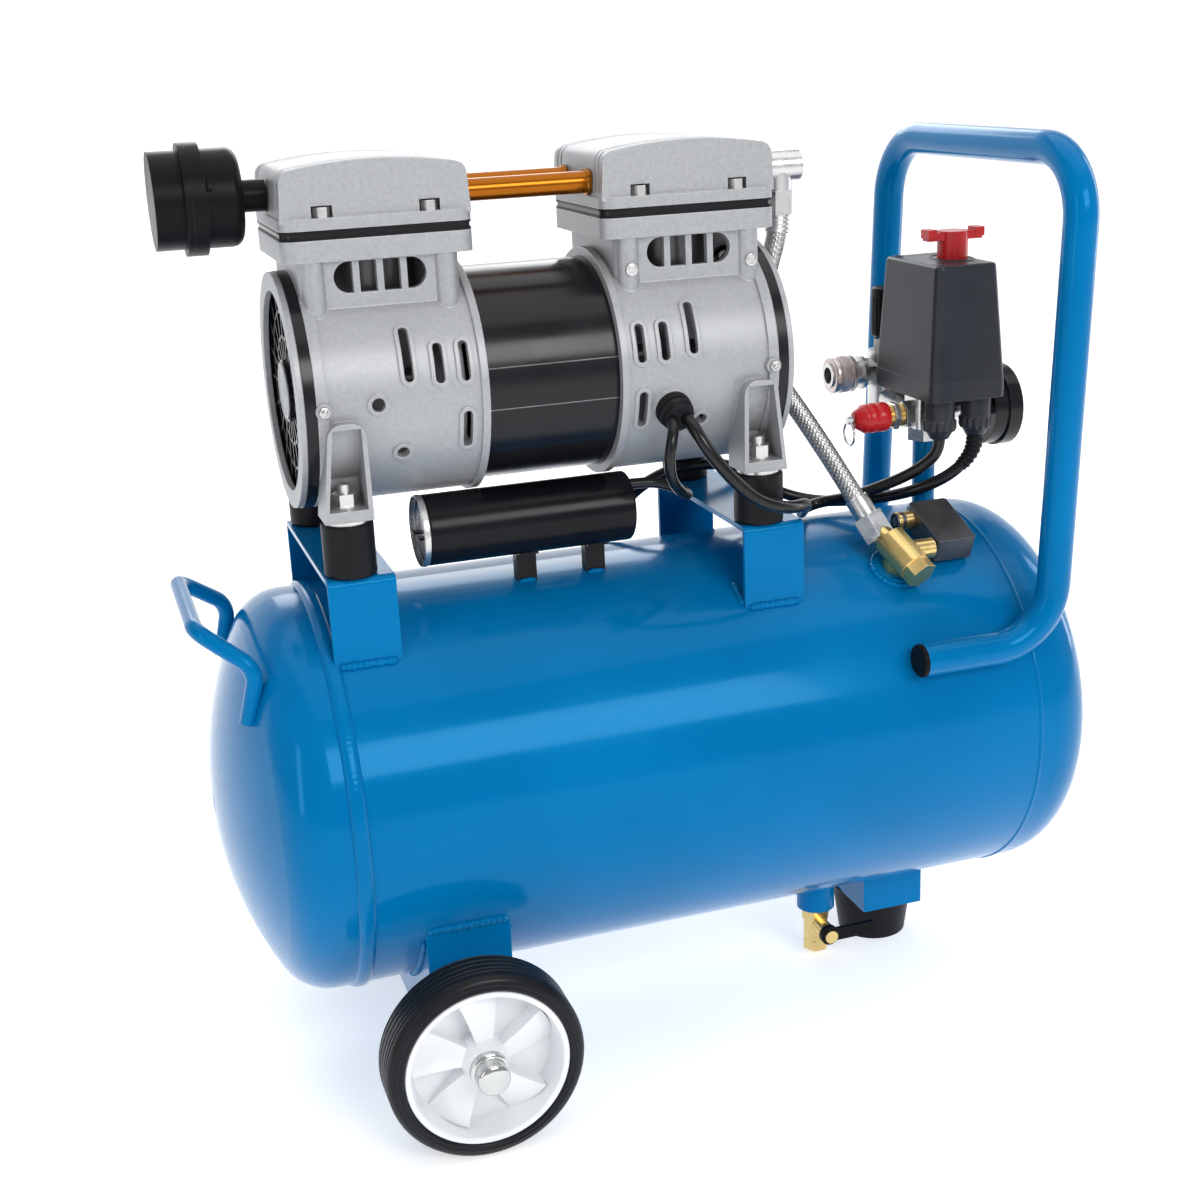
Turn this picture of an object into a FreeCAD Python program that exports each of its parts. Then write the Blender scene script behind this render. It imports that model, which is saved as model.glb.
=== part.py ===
import FreeCAD, Part
import math
import os

# Portable oil-free air compressor, 24 litre tank.
# Frame: X along the tank (pump intake at -X, tall handle at +X), Y across, Z up.
# Origin: on the floor, under the middle of the machine. All lengths in millimetres.

V = FreeCAD.Vector
X = V(1, 0, 0)
Y = V(0, 1, 0)
Z = V(0, 0, 1)
SIDES = (-1, 1)

# ---- driving dimensions -------------------------------------------------------------
# Tank
TANK_R = 121.0
TANK_SHEET = 2.5
TANK_Z = 173.0
SEAM_LEFT = -206.2
SEAM_RIGHT = 213.5
DOME_SKIRT = 12.0
DOME_DEPTH = 55.0
KNUCKLE_R = 32.0

# Pump: two crankcases either side of one motor, mirrored about PUMP_X
PUMP_X = -67.4
PUMP_Z = 412.4
CASE_R = 64.5
CASE_BORE_R = 61.0
CASE_LIP_R = 66.4
CASE_IN = 38.3
CASE_OUT = 133.0
GUARD_OUT = 139.2
RING_OUT = 142.6
HEAD_U = 88.7
HEAD_HALF_X = 52.2
HEAD_HALF_Y = 47.1
NECK_HALF_X = 44.0
NECK_HALF_Y = 42.0
FLANGE_Z = 486.8
GASKET_Z = 498.2
COVER_Z = 503.3
COVER_FLANGE_TOP = 509.5
COVER_SIDE_TOP = 533.5
COVER_PEAK = 538.5
CROSSOVER_Y = 22.0
PORT_Z = 517.0
CROSSOVER_R = 6.2

# Running gear inside the pump
SHAFT_R = 7.0
THROW = 4.0
ECCENTRIC_R = 12.0
RUN_CLEAR = 0.05
PISTON_R = 21.5
LINER_BORE_R = 26.6
LINER_R = 28.6
BEARING_R = 16.0

# Pump mounts
LUG_U = 121.6
MOUNT_Y = 60.0
SADDLE_TOP = 319.2
SADDLE_W = 37.9
SADDLE_X = (-185.8, 58.4)
SADDLE_HALF_Y = 73.0
PLATE = 3.0
ISOLATOR_R = 14.5
ISOLATOR_TOP = 349.0
LUG_Z = 351.0

# Wheels and foot
AXLE_X = -154.0
AXLE_Z = 56.5
TYRE_R = 56.5
RIM_R = 47.0
WHEEL_IN = 130.0
WHEEL_OUT = 160.0
AXLE_R = 6.0
FOOT_X = 161.0
FOOT_TOP = 33.0

# Handles
FRAME_TUBE_R = 10.0
FRAME_WALL = 1.5
FRAME_Y = 115.0
FRAME_LOW_Z = 236.5
CARRY_ROD_R = 4.75

# Controls at the right end of the tank
RISER_X = 196.0
RISER_R = 7.25
MANIFOLD_Z = 358.0
SWITCH_Z = 371.5
SWITCH_SEAM_Z = 383.5
SWITCH_TOP = 454.0
KNOB_X = 213.8
KNOB_STEM_R = 9.5
REGULATOR = V(202, 60, 375.5)
GAUGE_R = 26.0
GAUGE_FACE_X = 252.5
DRAIN_X = 108.0
DRAIN_Y = -22.0
LEVER_Z = 24.0

# Leads
LEAD_R = 3.75
COIL_CENTRE = V(-50, 171, 0)
COIL_RINGS = 2
COIL_LAYERS = 3
COIL_MID_R = 41.0


# ---- helpers ------------------------------------------------------------------------
def block(x0, x1, y0, y1, z0, z1):
    return Part.makeBox(x1 - x0, y1 - y0, z1 - z0, V(x0, y0, z0))


def rod(radius, start, axis, length):
    return Part.makeCylinder(radius, length, start, axis)


def ring(outer, inner, start, axis, length):
    return rod(outer, start, axis, length).cut(rod(inner, start, axis, length))


def fuse(parts):
    whole = parts[0].fuse(parts[1:]) if len(parts) > 1 else parts[0]
    return whole.removeSplitter()


def cut(shape, tools):
    for tool in tools:
        shape = shape.cut(tool)
    return shape


def edges_along(shape, axis):
    """Straight edges of a shape that run along one axis."""
    found = []
    for edge in shape.Edges:
        if len(edge.Vertexes) == 2 and isinstance(edge.Curve, Part.Line):
            step = edge.Vertexes[1].Point - edge.Vertexes[0].Point
            if step.cross(axis).Length < 1e-6:
                found.append(edge)
    return found


def rounded_block(x0, x1, y0, y1, z0, z1, radius, axis=Z):
    solid = block(x0, x1, y0, y1, z0, z1)
    return solid.makeFillet(radius, edges_along(solid, axis))


def prism(points, depth):
    return Part.Face(Part.makePolygon(points + [points[0]])).extrude(depth)


def place(shape, at, axis):
    """Turn a shape built along +Z so that it points along axis, and move it to at."""
    shape.Placement = FreeCAD.Placement(at, FreeCAD.Rotation(Z, axis))
    return shape


def hexagon(across_flats, at, axis, length):
    corner_r = across_flats / 2 / math.cos(math.pi / 6)
    corners = []
    for i in range(6):
        angle = math.pi / 3 * i
        corners.append(V(corner_r * math.cos(angle), corner_r * math.sin(angle), 0))
    return place(prism(corners, Z * length), at, axis)


def dome_nut(across_flats, at, axis, hex_length):
    dome_r = across_flats / 2 - 1
    nut = hexagon(across_flats, V(0, 0, 0), Z, hex_length)
    cap = Part.makeSphere(dome_r, V(0, 0, hex_length)).common(rod(dome_r, V(0, 0, hex_length), Z, dome_r))
    return place(nut.fuse(cap), at, axis)


def bent_wire(points, radii):
    """Straight runs joined by tangent arcs, one radius for each inner point."""
    edges = []
    last = points[0]
    for i, radius in enumerate(radii, 1):
        back = (points[i - 1] - points[i]).normalize()
        ahead = (points[i + 1] - points[i]).normalize()
        turn = math.pi - back.getAngle(ahead)
        setback = radius * math.tan(turn / 2)
        start = points[i] + back * setback
        end = points[i] + ahead * setback
        inward = (back + ahead).normalize()
        middle = points[i] + inward * (radius / math.cos(turn / 2) - radius)
        edges.append(Part.LineSegment(last, start).toShape())
        edges.append(Part.Arc(start, middle, end).toShape())
        last = end
    edges.append(Part.LineSegment(last, points[-1]).toShape())
    return Part.Wire(edges)


def sweep(wire, first_run, radius):
    start = wire.Edges[0].valueAt(wire.Edges[0].FirstParameter)
    profile = Part.Wire(Part.Circle(start, first_run, radius).toShape())
    return wire.makePipeShell([profile], True, False)


def bent_rod(points, radii, radius, wall=0):
    wire = bent_wire(points, radii)
    first_run = points[1] - points[0]
    solid = sweep(wire, first_run, radius)
    if wall:
        solid = solid.cut(sweep(wire, first_run, radius - wall))
    return solid


def cord_radii(points):
    """The largest arcs that the runs of a free cord allow."""
    radii = []
    for i in range(1, len(points) - 1):
        back = points[i - 1] - points[i]
        ahead = points[i + 1] - points[i]
        turn = math.pi - back.getAngle(ahead)
        radii.append(0.45 * min(back.Length, ahead.Length) / math.tan(turn / 2))
    return radii


def cord(name, points, radius):
    radii = cord_radii(points)
    wire = bent_wire(points, radii)
    solid = sweep(wire, points[1] - points[0], radius)
    expected = math.pi * radius * radius * wire.Length
    print(name, "length", round(wire.Length, 1), "volume ratio", round(solid.Volume / expected, 4))
    print(name, "radii", [round(r) for r in radii])
    return solid


def mirrored(shape, side):
    """The pump's right half is drawn; side -1 gives its mirror image."""
    return shape if side > 0 else shape.mirror(V(PUMP_X, 0, 0), X)


def save(name, solids):
    shape = Part.makeCompound(solids) if len(solids) > 1 else solids[0]
    shape.exportStep("parts/" + name + ".step")


# ---- tank ---------------------------------------------------------------------------
def tank_cylinder(extra=0.0):
    length = SEAM_RIGHT - SEAM_LEFT
    return rod(TANK_R + extra, V(SEAM_LEFT, 0, TANK_Z), X, length)


def on_tank(x, angle, height):
    """A point at an angle from the top of the tank, positive towards the back."""
    a = math.radians(angle)
    reach = TANK_R + height
    return V(x, reach * math.sin(a), TANK_Z + reach * math.cos(a))


def arc_about(centre, start, end):
    """The short arc about a centre; start and end give its radius and its span."""
    radius = (start - centre).Length
    middle = centre + ((start - centre).normalize() + (end - centre).normalize()).normalize() * radius
    return Part.Arc(start, middle, end).toShape()


def dome_profile(seam, side, inset):
    """Half of a domed end's outline: skirt, knuckle, crown, and its tip."""
    radius = TANK_R - inset
    knuckle_r = KNUCKLE_R - inset
    depth = DOME_DEPTH - inset
    reach = radius - knuckle_r
    crown_r = (reach * reach + depth * depth - knuckle_r * knuckle_r) / (2 * (depth - knuckle_r))
    shoulder = seam + side * DOME_SKIRT
    rim = V(shoulder, 0, TANK_Z + radius)
    tip = V(shoulder + side * depth, 0, TANK_Z)
    knuckle_centre = V(shoulder, 0, TANK_Z + reach)
    crown_centre = V(shoulder + side * (depth - crown_r), 0, TANK_Z)
    join = crown_centre + (knuckle_centre - crown_centre).normalize() * crown_r
    skirt = Part.LineSegment(V(seam, 0, TANK_Z + radius), rim).toShape()
    return [skirt, arc_about(knuckle_centre, rim, join), arc_about(crown_centre, join, tip)], tip


def dome_shell(seam, side, outer, inner):
    """A dome between two offsets of the tank's outer surface."""
    outside, tip = dome_profile(seam, side, outer)
    inside, tip_in = dome_profile(seam, side, inner)
    seam_edge = Part.LineSegment(V(seam, 0, TANK_Z + TANK_R - outer), V(seam, 0, TANK_Z + TANK_R - inner))
    edges = outside + inside + [seam_edge.toShape(), Part.LineSegment(tip, tip_in).toShape()]
    outline = Part.Wire(Part.sortEdges(edges)[0])
    return Part.Face(outline).revolve(V(seam, 0, TANK_Z), X, 360)


def tank_barrel():
    length = SEAM_RIGHT - SEAM_LEFT
    shell = ring(TANK_R, TANK_R - TANK_SHEET, V(SEAM_LEFT, 0, TANK_Z), X, length)
    ports = [rod(RISER_R - 1.5, V(RISER_X, 0, TANK_Z), Z, TANK_R + 5)]
    ports.append(rod(6.0, V(DRAIN_X, DRAIN_Y, TANK_Z - TANK_R - 5), Z, 40))
    return cut(shell, ports)


def tank_domes():
    ends = ((SEAM_LEFT, -1), (SEAM_RIGHT, 1))
    return [dome_shell(seam, side, 0, TANK_SHEET) for seam, side in ends]


VALVE_ANGLE = -30.3
VALVE_X = 144.0
VALVE_HEIGHT = 14.0
BOSS_HEIGHT = 2.6


def tank_bosses():
    """The riser pipe of the switch, the check valve's boss and the drain boss."""
    riser_foot = TANK_Z + TANK_R - 1
    riser = ring(RISER_R, RISER_R - 1.5, V(RISER_X, 0, riser_foot), Z, MANIFOLD_Z - 17 - riser_foot)
    valve_seat = on_tank(VALVE_X, VALVE_ANGLE, -2)
    outward = (on_tank(VALVE_X, VALVE_ANGLE, 5) - valve_seat).normalize()
    valve_boss = rod(13.5, valve_seat, outward, 2 + BOSS_HEIGHT)
    drain_boss = ring(12.5, 6.0, V(DRAIN_X, DRAIN_Y, 36), Z, 24)
    tank = tank_cylinder()
    return [riser.cut(tank), valve_boss.cut(tank), drain_boss.cut(tank)]


# ---- brackets, foot and handles -----------------------------------------------------
def saddle_bracket(x):
    x0 = x - SADDLE_W / 2
    x1 = x + SADDLE_W / 2
    outer = rounded_block(x0, x1, -SADDLE_HALF_Y, SADDLE_HALF_Y, 240, SADDLE_TOP, 4, X)
    inner_y = SADDLE_HALF_Y - PLATE
    hollow = block(x0 - 1, x1 + 1, -inner_y, inner_y, 230, SADDLE_TOP - PLATE)
    shape = outer.cut(hollow).cut(tank_cylinder())
    for side in SIDES:
        shape = shape.cut(rod(4.2, V(PUMP_X + math.copysign(LUG_U, x), side * MOUNT_Y, 300), Z, 30))
    return shape


def axle_bracket():
    x0 = -173.0
    x1 = -124.0
    half_y = 108.0
    outer = block(x0, x1, -half_y, half_y, 39, 150)
    hollow = block(x0 + PLATE, x1 - PLATE, -half_y + PLATE, half_y - PLATE, 38, 151)
    shape = outer.cut(hollow).cut(tank_cylinder())
    shape = shape.cut(rod(AXLE_R, V(AXLE_X, -half_y - 5, AXLE_Z), Y, 2 * half_y + 10))
    return max(shape.Solids, key=lambda s: s.Volume)


def foot_bracket():
    x0 = 135.0
    x1 = 177.0
    half_y = 40.0
    outer = block(x0, x1, -half_y, half_y, FOOT_TOP, 80)
    hollow = block(x0 + PLATE, x1 - PLATE, -half_y + PLATE, half_y - PLATE, FOOT_TOP + PLATE, 90)
    shape = outer.cut(hollow).cut(tank_cylinder())
    return shape.cut(rod(4.2, V(FOOT_X, 0, FOOT_TOP - 1), Z, 10))


def rubber_foot():
    body = Part.makeCone(22.5, 27.0, FOOT_TOP, V(FOOT_X, 0, 0), Z)
    recess = rod(9.0, V(FOOT_X, 0, -1), Z, 19)
    hole = rod(4.2, V(FOOT_X, 0, 0), Z, FOOT_TOP + 1)
    return cut(body, [recess, hole])


def frame_handle_points():
    low_x = 134.0
    foot_x = 219.8
    top_x = 230.9
    top_z = 523.0
    half = [V(low_x, -FRAME_Y, FRAME_LOW_Z), V(foot_x, -FRAME_Y, FRAME_LOW_Z), V(top_x, -FRAME_Y, top_z)]
    other = [V(p.x, -p.y, p.z) for p in reversed(half)]
    return half + other


def frame_handle():
    return bent_rod(frame_handle_points(), [38, 40, 40, 38], FRAME_TUBE_R, FRAME_WALL)


def handle_end_caps():
    caps = []
    for side in SIDES:
        at = V(134, side * FRAME_Y, FRAME_LOW_Z)
        plug = rod(FRAME_TUBE_R - FRAME_WALL, at, X, 10)
        head = rod(FRAME_TUBE_R, at - X * 3, X, 3)
        outer_rim = [e for e in head.Edges if len(e.Vertexes) == 1 and e.BoundBox.XMax < at.x - 2]
        head = head.makeFillet(1.6, outer_rim)
        caps.append(head.fuse(plug))
    return caps


def carry_handle():
    half = [V(-253.5, -61, 242), V(-246, -64, 273), V(-275.5, -51, 295.5)]
    points = half + [V(p.x, -p.y, p.z) for p in reversed(half)]
    shape = bent_rod(points, [14, 13, 13, 14], CARRY_ROD_R)
    outside = shape.cut(dome_shell(SEAM_LEFT, -1, 0, TANK_SHEET))
    return max(outside.Solids, key=lambda s: s.Volume)


# ---- wheels -------------------------------------------------------------------------
def wheel(side):
    inner = V(AXLE_X, side * (WHEEL_IN + 1), AXLE_Z)
    out = Y * side
    width = WHEEL_OUT - WHEEL_IN - 2
    rim = ring(RIM_R, RIM_R - 4, inner, out, width)
    hub = rod(12, inner, out, width - 1)
    web = rod(RIM_R - 3, inner + out * 10, out, 5)
    windows = []
    for i in range(5):
        a = math.radians(72 * i + 36)
        centre = inner + V(math.cos(a), 0, math.sin(a)) * 28
        windows.append(rod(9.5, centre, out, width))
    bore = rod(AXLE_R + RUN_CLEAR, inner - out, out, width + 2)
    return fuse([rim, hub, cut(web, windows)]).cut(bore)


def tyre(side):
    start = V(AXLE_X, side * WHEEL_IN, AXLE_Z)
    width = WHEEL_OUT - WHEEL_IN
    body = rod(TYRE_R, start, Y * side, width)
    rims = [e for e in body.Edges if len(e.Vertexes) == 1]
    body = body.makeFillet(6, rims)
    return body.cut(rod(RIM_R, start - Y * side, Y * side, width + 2))


def axle_bolt(side):
    out = Y * side
    shank = rod(AXLE_R, V(AXLE_X, side * 100, AXLE_Z), out, 64)
    head = hexagon(18, V(AXLE_X, side * 98, AXLE_Z), out, 7)
    spacer = rod(10, V(AXLE_X, side * 108, AXLE_Z), out, WHEEL_IN - 108 + 0.6)
    washer = rod(11, V(AXLE_X, side * (WHEEL_OUT - 1.6), AXLE_Z), out, 1.4)
    nut = dome_nut(19, V(AXLE_X, side * (WHEEL_OUT - 0.2), AXLE_Z), out, 6)
    return fuse([shank, head, spacer, washer, nut])


# ---- pump castings ------------------------------------------------------------------
def at_pump(u, y=0.0, z=0.0):
    """A point of the pump's right half, u outwards from the middle of the motor."""
    return V(PUMP_X + u, y, PUMP_Z + z)


def wall_slot(length, width):
    """A slot-shaped prism along Z, long axis along Y, that spans the crankcase's wall."""
    base = 54
    height = 26
    straight = length - width
    parts = [rod(width / 2, V(0, -straight / 2, base), Z, height)]
    if straight > 0:
        parts.append(rod(width / 2, V(0, straight / 2, base), Z, height))
        parts.append(block(-width / 2, width / 2, -straight / 2, straight / 2, base, base + height))
    return fuse(parts)


def radial(shape, u, angle):
    """Stand a prism on the crankcase, angle from the top towards the front."""
    shape.Placement = FreeCAD.Placement(at_pump(u), FreeCAD.Rotation(X, angle))
    return shape


# Crankcase openings: u, angle of the middle, opening length round the case, width
CASE_SLOTS = (
    (81.8, 68.2, 30.0, 5.2),
    (64.8, 73.7, 22.0, 5.2),
    (50.6, 73.7, 22.0, 5.2),
    (50.9, 107.5, 22.0, 5.2),
    (87.0, 116.5, 7.0, 7.0),
)
CASE_HOLE = (99.8, 90.6, 7.5, 7.5)
GROMMET = (68.8, 108.3)
GROMMET_R = 8.8
SLOT_RIM = 2.3
SLOT_RIM_R = CASE_LIP_R - 0.6
# Half-round columns on the front and back of a neck, either side of its vents
COLUMN_X = 36.2
COLUMN_Y = 39.8
COLUMN_R = 6.5
COLUMN_FOOT_Z = 450.0


def foot_lug(side):
    outline = [
        at_pump(LUG_U - 13.4, side * 72, LUG_Z - PUMP_Z),
        at_pump(LUG_U + 13.4, side * 72, LUG_Z - PUMP_Z),
        at_pump(LUG_U + 7.5, side * 72, -8),
        at_pump(LUG_U - 12.5, side * 72, -8),
    ]
    tower = prism(outline, V(0, -side * 24, 0))
    slanted = [e for e in tower.Edges if abs(e.Vertexes[0].Z - e.Vertexes[1].Z) < 1e-6
               and e.BoundBox.YLength > 20 and e.BoundBox.ZMin > PUMP_Z - 10]
    tower = tower.makeFillet(8, slanted)
    opening = [
        at_pump(LUG_U - 10.6, side * 74, LUG_Z + 6 - PUMP_Z),
        at_pump(LUG_U + 10.6, side * 74, LUG_Z + 6 - PUMP_Z),
        at_pump(LUG_U + 5.4, side * 74, -11),
        at_pump(LUG_U - 10.2, side * 74, -11),
    ]
    pocket = prism(opening, V(0, -side * 25, 0))
    hole = rod(4.2, V(PUMP_X + LUG_U, side * MOUNT_Y, LUG_Z - 1), Z, 10)
    guard_room = rod(CASE_LIP_R + 0.3, at_pump(CASE_OUT), X, 20)
    return cut(tower, [pocket, hole, guard_room])


def bulkhead():
    """The spoked inner wall that holds the shaft bearing."""
    wall = ring(CASE_BORE_R + 1, BEARING_R, at_pump(48.5), X, 4)
    boss = ring(BEARING_R + 5, BEARING_R, at_pump(44.5), X, 12)
    windows = []
    for i in range(6):
        a = math.radians(60 * i + 30)
        windows.append(rod(11, at_pump(40, 41 * math.cos(a), 41 * math.sin(a)), X, 30))
    return cut(wall, windows).fuse(boss)


def crankcase(hole_spec):
    """The right crankcase; hole_spec is its one opening that differs left and right."""
    parts = [rod(CASE_R, at_pump(CASE_IN), X, CASE_OUT - CASE_IN)]
    parts.append(rod(CASE_LIP_R, at_pump(CASE_IN), X, 4.2))
    parts.append(rod(CASE_LIP_R, at_pump(CASE_OUT - 6), X, 6))
    head_x = PUMP_X + HEAD_U
    parts.append(rounded_block(head_x - NECK_HALF_X, head_x + NECK_HALF_X, -NECK_HALF_Y, NECK_HALF_Y,
                               PUMP_Z, FLANGE_Z + 1, 5))
    parts.append(rounded_block(head_x - HEAD_HALF_X, head_x + HEAD_HALF_X, -HEAD_HALF_Y, HEAD_HALF_Y,
                               FLANGE_Z, GASKET_Z, 8))
    for side in SIDES:
        for offset in (-COLUMN_X, COLUMN_X):
            foot = V(head_x + offset, side * COLUMN_Y, COLUMN_FOOT_Z)
            parts.append(rod(COLUMN_R, foot, Z, FLANGE_Z + 1 - COLUMN_FOOT_Z))
    body = fuse(parts)
    rims = ring(SLOT_RIM_R, CASE_R - 1, at_pump(CASE_IN), X, CASE_OUT - CASE_IN)
    openings = []
    for u, angle, length, width in CASE_SLOTS + (hole_spec,):
        for side in SIDES:
            collar = radial(wall_slot(length + 2 * SLOT_RIM, width + 2 * SLOT_RIM), u, side * angle)
            body = body.fuse(collar.common(rims))
            openings.append(radial(wall_slot(length, width), u, side * angle))
    body = body.fuse(foot_lug(-1)).fuse(foot_lug(1))
    body = body.cut(rod(CASE_BORE_R, at_pump(CASE_IN - 1), X, CASE_OUT - CASE_IN + 2))
    body = body.fuse(bulkhead())
    body = body.cut(block(head_x - 39, head_x + 39, -37, 37, PUMP_Z + 30, FLANGE_Z - 2))
    body = body.cut(rod(LINER_R, V(head_x, 0, PUMP_Z + 20), Z, 100))
    body = cut(body, openings)
    return body.cut(vent_prism(head_x)).removeSplitter()


def vent_prism(head_x):
    """The row of four vents through the front and back walls of a neck."""
    half = 25.3
    radius = 8.4
    z = 477.4
    parts = [block(head_x - half + radius, head_x + half - radius, -50, 50, z - radius, z + radius)]
    for side in SIDES:
        parts.append(rod(radius, V(head_x + side * (half - radius), -50, z), Y, 100))
    shape = fuse(parts)
    for offset in (-13, 0, 13):
        shape = shape.cut(block(head_x + offset - 1.8, head_x + offset + 1.8, -51, 51, z - 9, z + 9))
    return shape


def fan_guard():
    band = ring(CASE_LIP_R, 58, at_pump(CASE_OUT), X, GUARD_OUT - CASE_OUT)
    spokes = []
    for i in range(20):
        bar = block(PUMP_X + 136, PUMP_X + 138.4, -0.9, 0.9, PUMP_Z + 15, PUMP_Z + 59)
        bar.rotate(at_pump(0), X, 18 * i)
        spokes.append(bar)
    hoops = [ring(r + 0.9, r - 0.9, at_pump(136.4), X, 1.8) for r in (30, 44)]
    hub = rod(17.5, at_pump(135.5), X, 4.5)
    return fuse([band, hub] + spokes + hoops)


def guard_ring():
    body = ring(CASE_LIP_R - 0.4, 56, at_pump(GUARD_OUT), X, RING_OUT - GUARD_OUT)
    return body


def cooling_fan():
    hub = rod(14, at_pump(118), X, 12)
    blades = []
    for i in range(7):
        blade = block(PUMP_X + 118.5, PUMP_X + 129.5, -1, 1, PUMP_Z + 12, PUMP_Z + 53)
        blade.rotate(at_pump(124, 0, 30), Z, 35)
        blade.rotate(at_pump(0), X, 360 / 7 * i)
        blades.append(blade)
    return fuse([hub] + blades).cut(rod(SHAFT_R, at_pump(110), X, 30))


def motor_barrel():
    half = 44.5
    return ring(CASE_BORE_R, CASE_BORE_R - 3, at_pump(-half), X, 2 * half)


def stator():
    core = ring(CASE_BORE_R - 3, 36.2, at_pump(-28), X, 56)
    windings = [ring(52, 39, at_pump(28), X, 9), ring(52, 39, at_pump(-37), X, 9)]
    return fuse([core] + windings)


def rotor_shaft():
    """Shaft, rotor and two eccentrics set half a turn apart (right one up)."""
    parts = [rod(SHAFT_R, at_pump(-131), X, 262), rod(35.6, at_pump(-28), X, 56)]
    for side in SIDES:
        centre = at_pump(side * HEAD_U - 7, 0, side * THROW)
        parts.append(rod(ECCENTRIC_R, centre, X, 14))
        parts.append(rod(SHAFT_R + 2, at_pump(side * 64 - 4), X, 8))
    return fuse(parts)


def shaft_bearing():
    return ring(BEARING_R, SHAFT_R + RUN_CLEAR, at_pump(45), X, 11)


def piston_rod(side):
    """Connecting rod and piston in one, as on an oil-free pump."""
    pin = at_pump(side * HEAD_U, 0, side * THROW)
    crown = 79.8
    eye = rod(18, pin - X * 6, X, 12)
    web = block(pin.x - 4, pin.x + 4, -7, 7, pin.z + 12, pin.z + crown - 6)
    piston = rod(PISTON_R, pin + Z * (crown - 9), Z, 9)
    seal = rod(PISTON_R + 0.5, pin + Z * (crown - 5.5), Z, 2)
    return fuse([eye, web, piston, seal]).cut(rod(ECCENTRIC_R + RUN_CLEAR, pin - X * 10, X, 20))


def liner():
    return ring(LINER_R, LINER_BORE_R, V(PUMP_X + HEAD_U, 0, PUMP_Z + 42), Z, GASKET_Z - PUMP_Z - 42)


def head_plate(z0, z1, inset):
    x = PUMP_X + HEAD_U
    half_x = HEAD_HALF_X - inset
    half_y = HEAD_HALF_Y - inset
    return rounded_block(x - half_x, x + half_x, -half_y, half_y, z0, z1, 8)


def valve_plate():
    x = PUMP_X + HEAD_U
    plate = head_plate(GASKET_Z + 1.2, COVER_Z - 1.2, 0.6)
    ports = [rod(4, V(x + 12 * side, 8 * side, GASKET_Z), Z, 8) for side in SIDES]
    return cut(plate, ports)


def head_gaskets():
    x = PUMP_X + HEAD_U
    window = rod(LINER_BORE_R, V(x, 0, GASKET_Z - 1), Z, 8)
    layers = ((GASKET_Z, GASKET_Z + 1.2), (COVER_Z - 1.2, COVER_Z))
    return [head_plate(z0, z1, 0).cut(window) for z0, z1 in layers]


BOLT_X = 29.0
BOLT_Y = 43.0


def cover_arch(half_y):
    """The arched body of a head cover: flat sides, rounded shoulders, shallow arch."""
    x = PUMP_X + HEAD_U
    low = COVER_FLANGE_TOP - 2
    half_low = HEAD_HALF_X - 0.6
    half_top = HEAD_HALF_X - 2.2
    a = V(x - half_low, -half_y, low)
    b = V(x - half_top, -half_y, COVER_SIDE_TOP)
    c = V(x + half_top, -half_y, COVER_SIDE_TOP)
    d = V(x + half_low, -half_y, low)
    peak = V(x, -half_y, COVER_PEAK)
    edges = [Part.LineSegment(a, b).toShape(), Part.Arc(b, peak, c).toShape()]
    edges += [Part.LineSegment(c, d).toShape(), Part.LineSegment(d, a).toShape()]
    solid = Part.Face(Part.Wire(edges)).extrude(Y * (2 * half_y))
    shoulders = [e for e in edges_along(solid, Y) if e.BoundBox.ZMin > COVER_SIDE_TOP - 1]
    return solid.makeFillet(7, shoulders)


def head_cover():
    x = PUMP_X + HEAD_U
    flange = head_plate(COVER_Z, COVER_FLANGE_TOP, 0)
    body = cover_arch(HEAD_HALF_Y - 2)
    shape = flange.fuse(body)
    core = cover_arch(HEAD_HALF_Y + 5)
    core.translate(V(0, 0, -1.6))
    for y in (-37.5, -31, 31, 37.5):
        groove = block(x - 70, x + 70, y - 1.1, y + 1.1, COVER_FLANGE_TOP + 3, COVER_PEAK + 5)
        shrunk = block(x - HEAD_HALF_X + 3.2, x + HEAD_HALF_X - 3.2, -60, 60, 400, COVER_PEAK)
        shape = shape.cut(groove.cut(core.common(shrunk)))
    chambers = []
    for y0, y1 in ((-38, -3), (3, 38)):
        chambers.append(block(x - 42, x + 42, y0, y1, COVER_Z - 1, 526))
    for side_x in SIDES:
        for side_y in SIDES:
            chambers.append(rod(6.0, V(x + side_x * BOLT_X, side_y * BOLT_Y, COVER_FLANGE_TOP), Z, 6.2))
            chambers.append(rod(2.6, V(x + side_x * BOLT_X, side_y * BOLT_Y, COVER_Z - 1), Z, 10))
    for side in SIDES:
        chambers.append(rod(CROSSOVER_R, V(x - 60, side * CROSSOVER_Y, PORT_Z), X, 20))
    chambers.append(rod(6.5, V(x + 40, 0, PORT_Z), X, 20))
    return cut(shape, chambers)


def head_bolts():
    x = PUMP_X + HEAD_U
    bolts = []
    for side_x in SIDES:
        for side_y in SIDES:
            foot = V(x + side_x * BOLT_X, side_y * BOLT_Y, COVER_FLANGE_TOP)
            bolts.append(hexagon(8, foot, Z, 5.5).fuse(rod(2.5, foot - Z * 4, Z, 4)))
    return bolts


def crossover_tube(y):
    left = PUMP_X - HEAD_U + HEAD_HALF_X - 9
    right = PUMP_X + HEAD_U - HEAD_HALF_X + 9
    tube = ring(CROSSOVER_R, CROSSOVER_R - 1.2, V(left, y, PORT_Z), X, right - left)
    collars = []
    for side in SIDES:
        face = PUMP_X + side * (HEAD_U - HEAD_HALF_X + 0.4)
        start = face if side < 0 else face - 2
        collars.append(ring(CROSSOVER_R + 1.2, CROSSOVER_R - 1.2, V(start, y, PORT_Z), X, 2))
    return fuse([tube] + collars)


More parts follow.
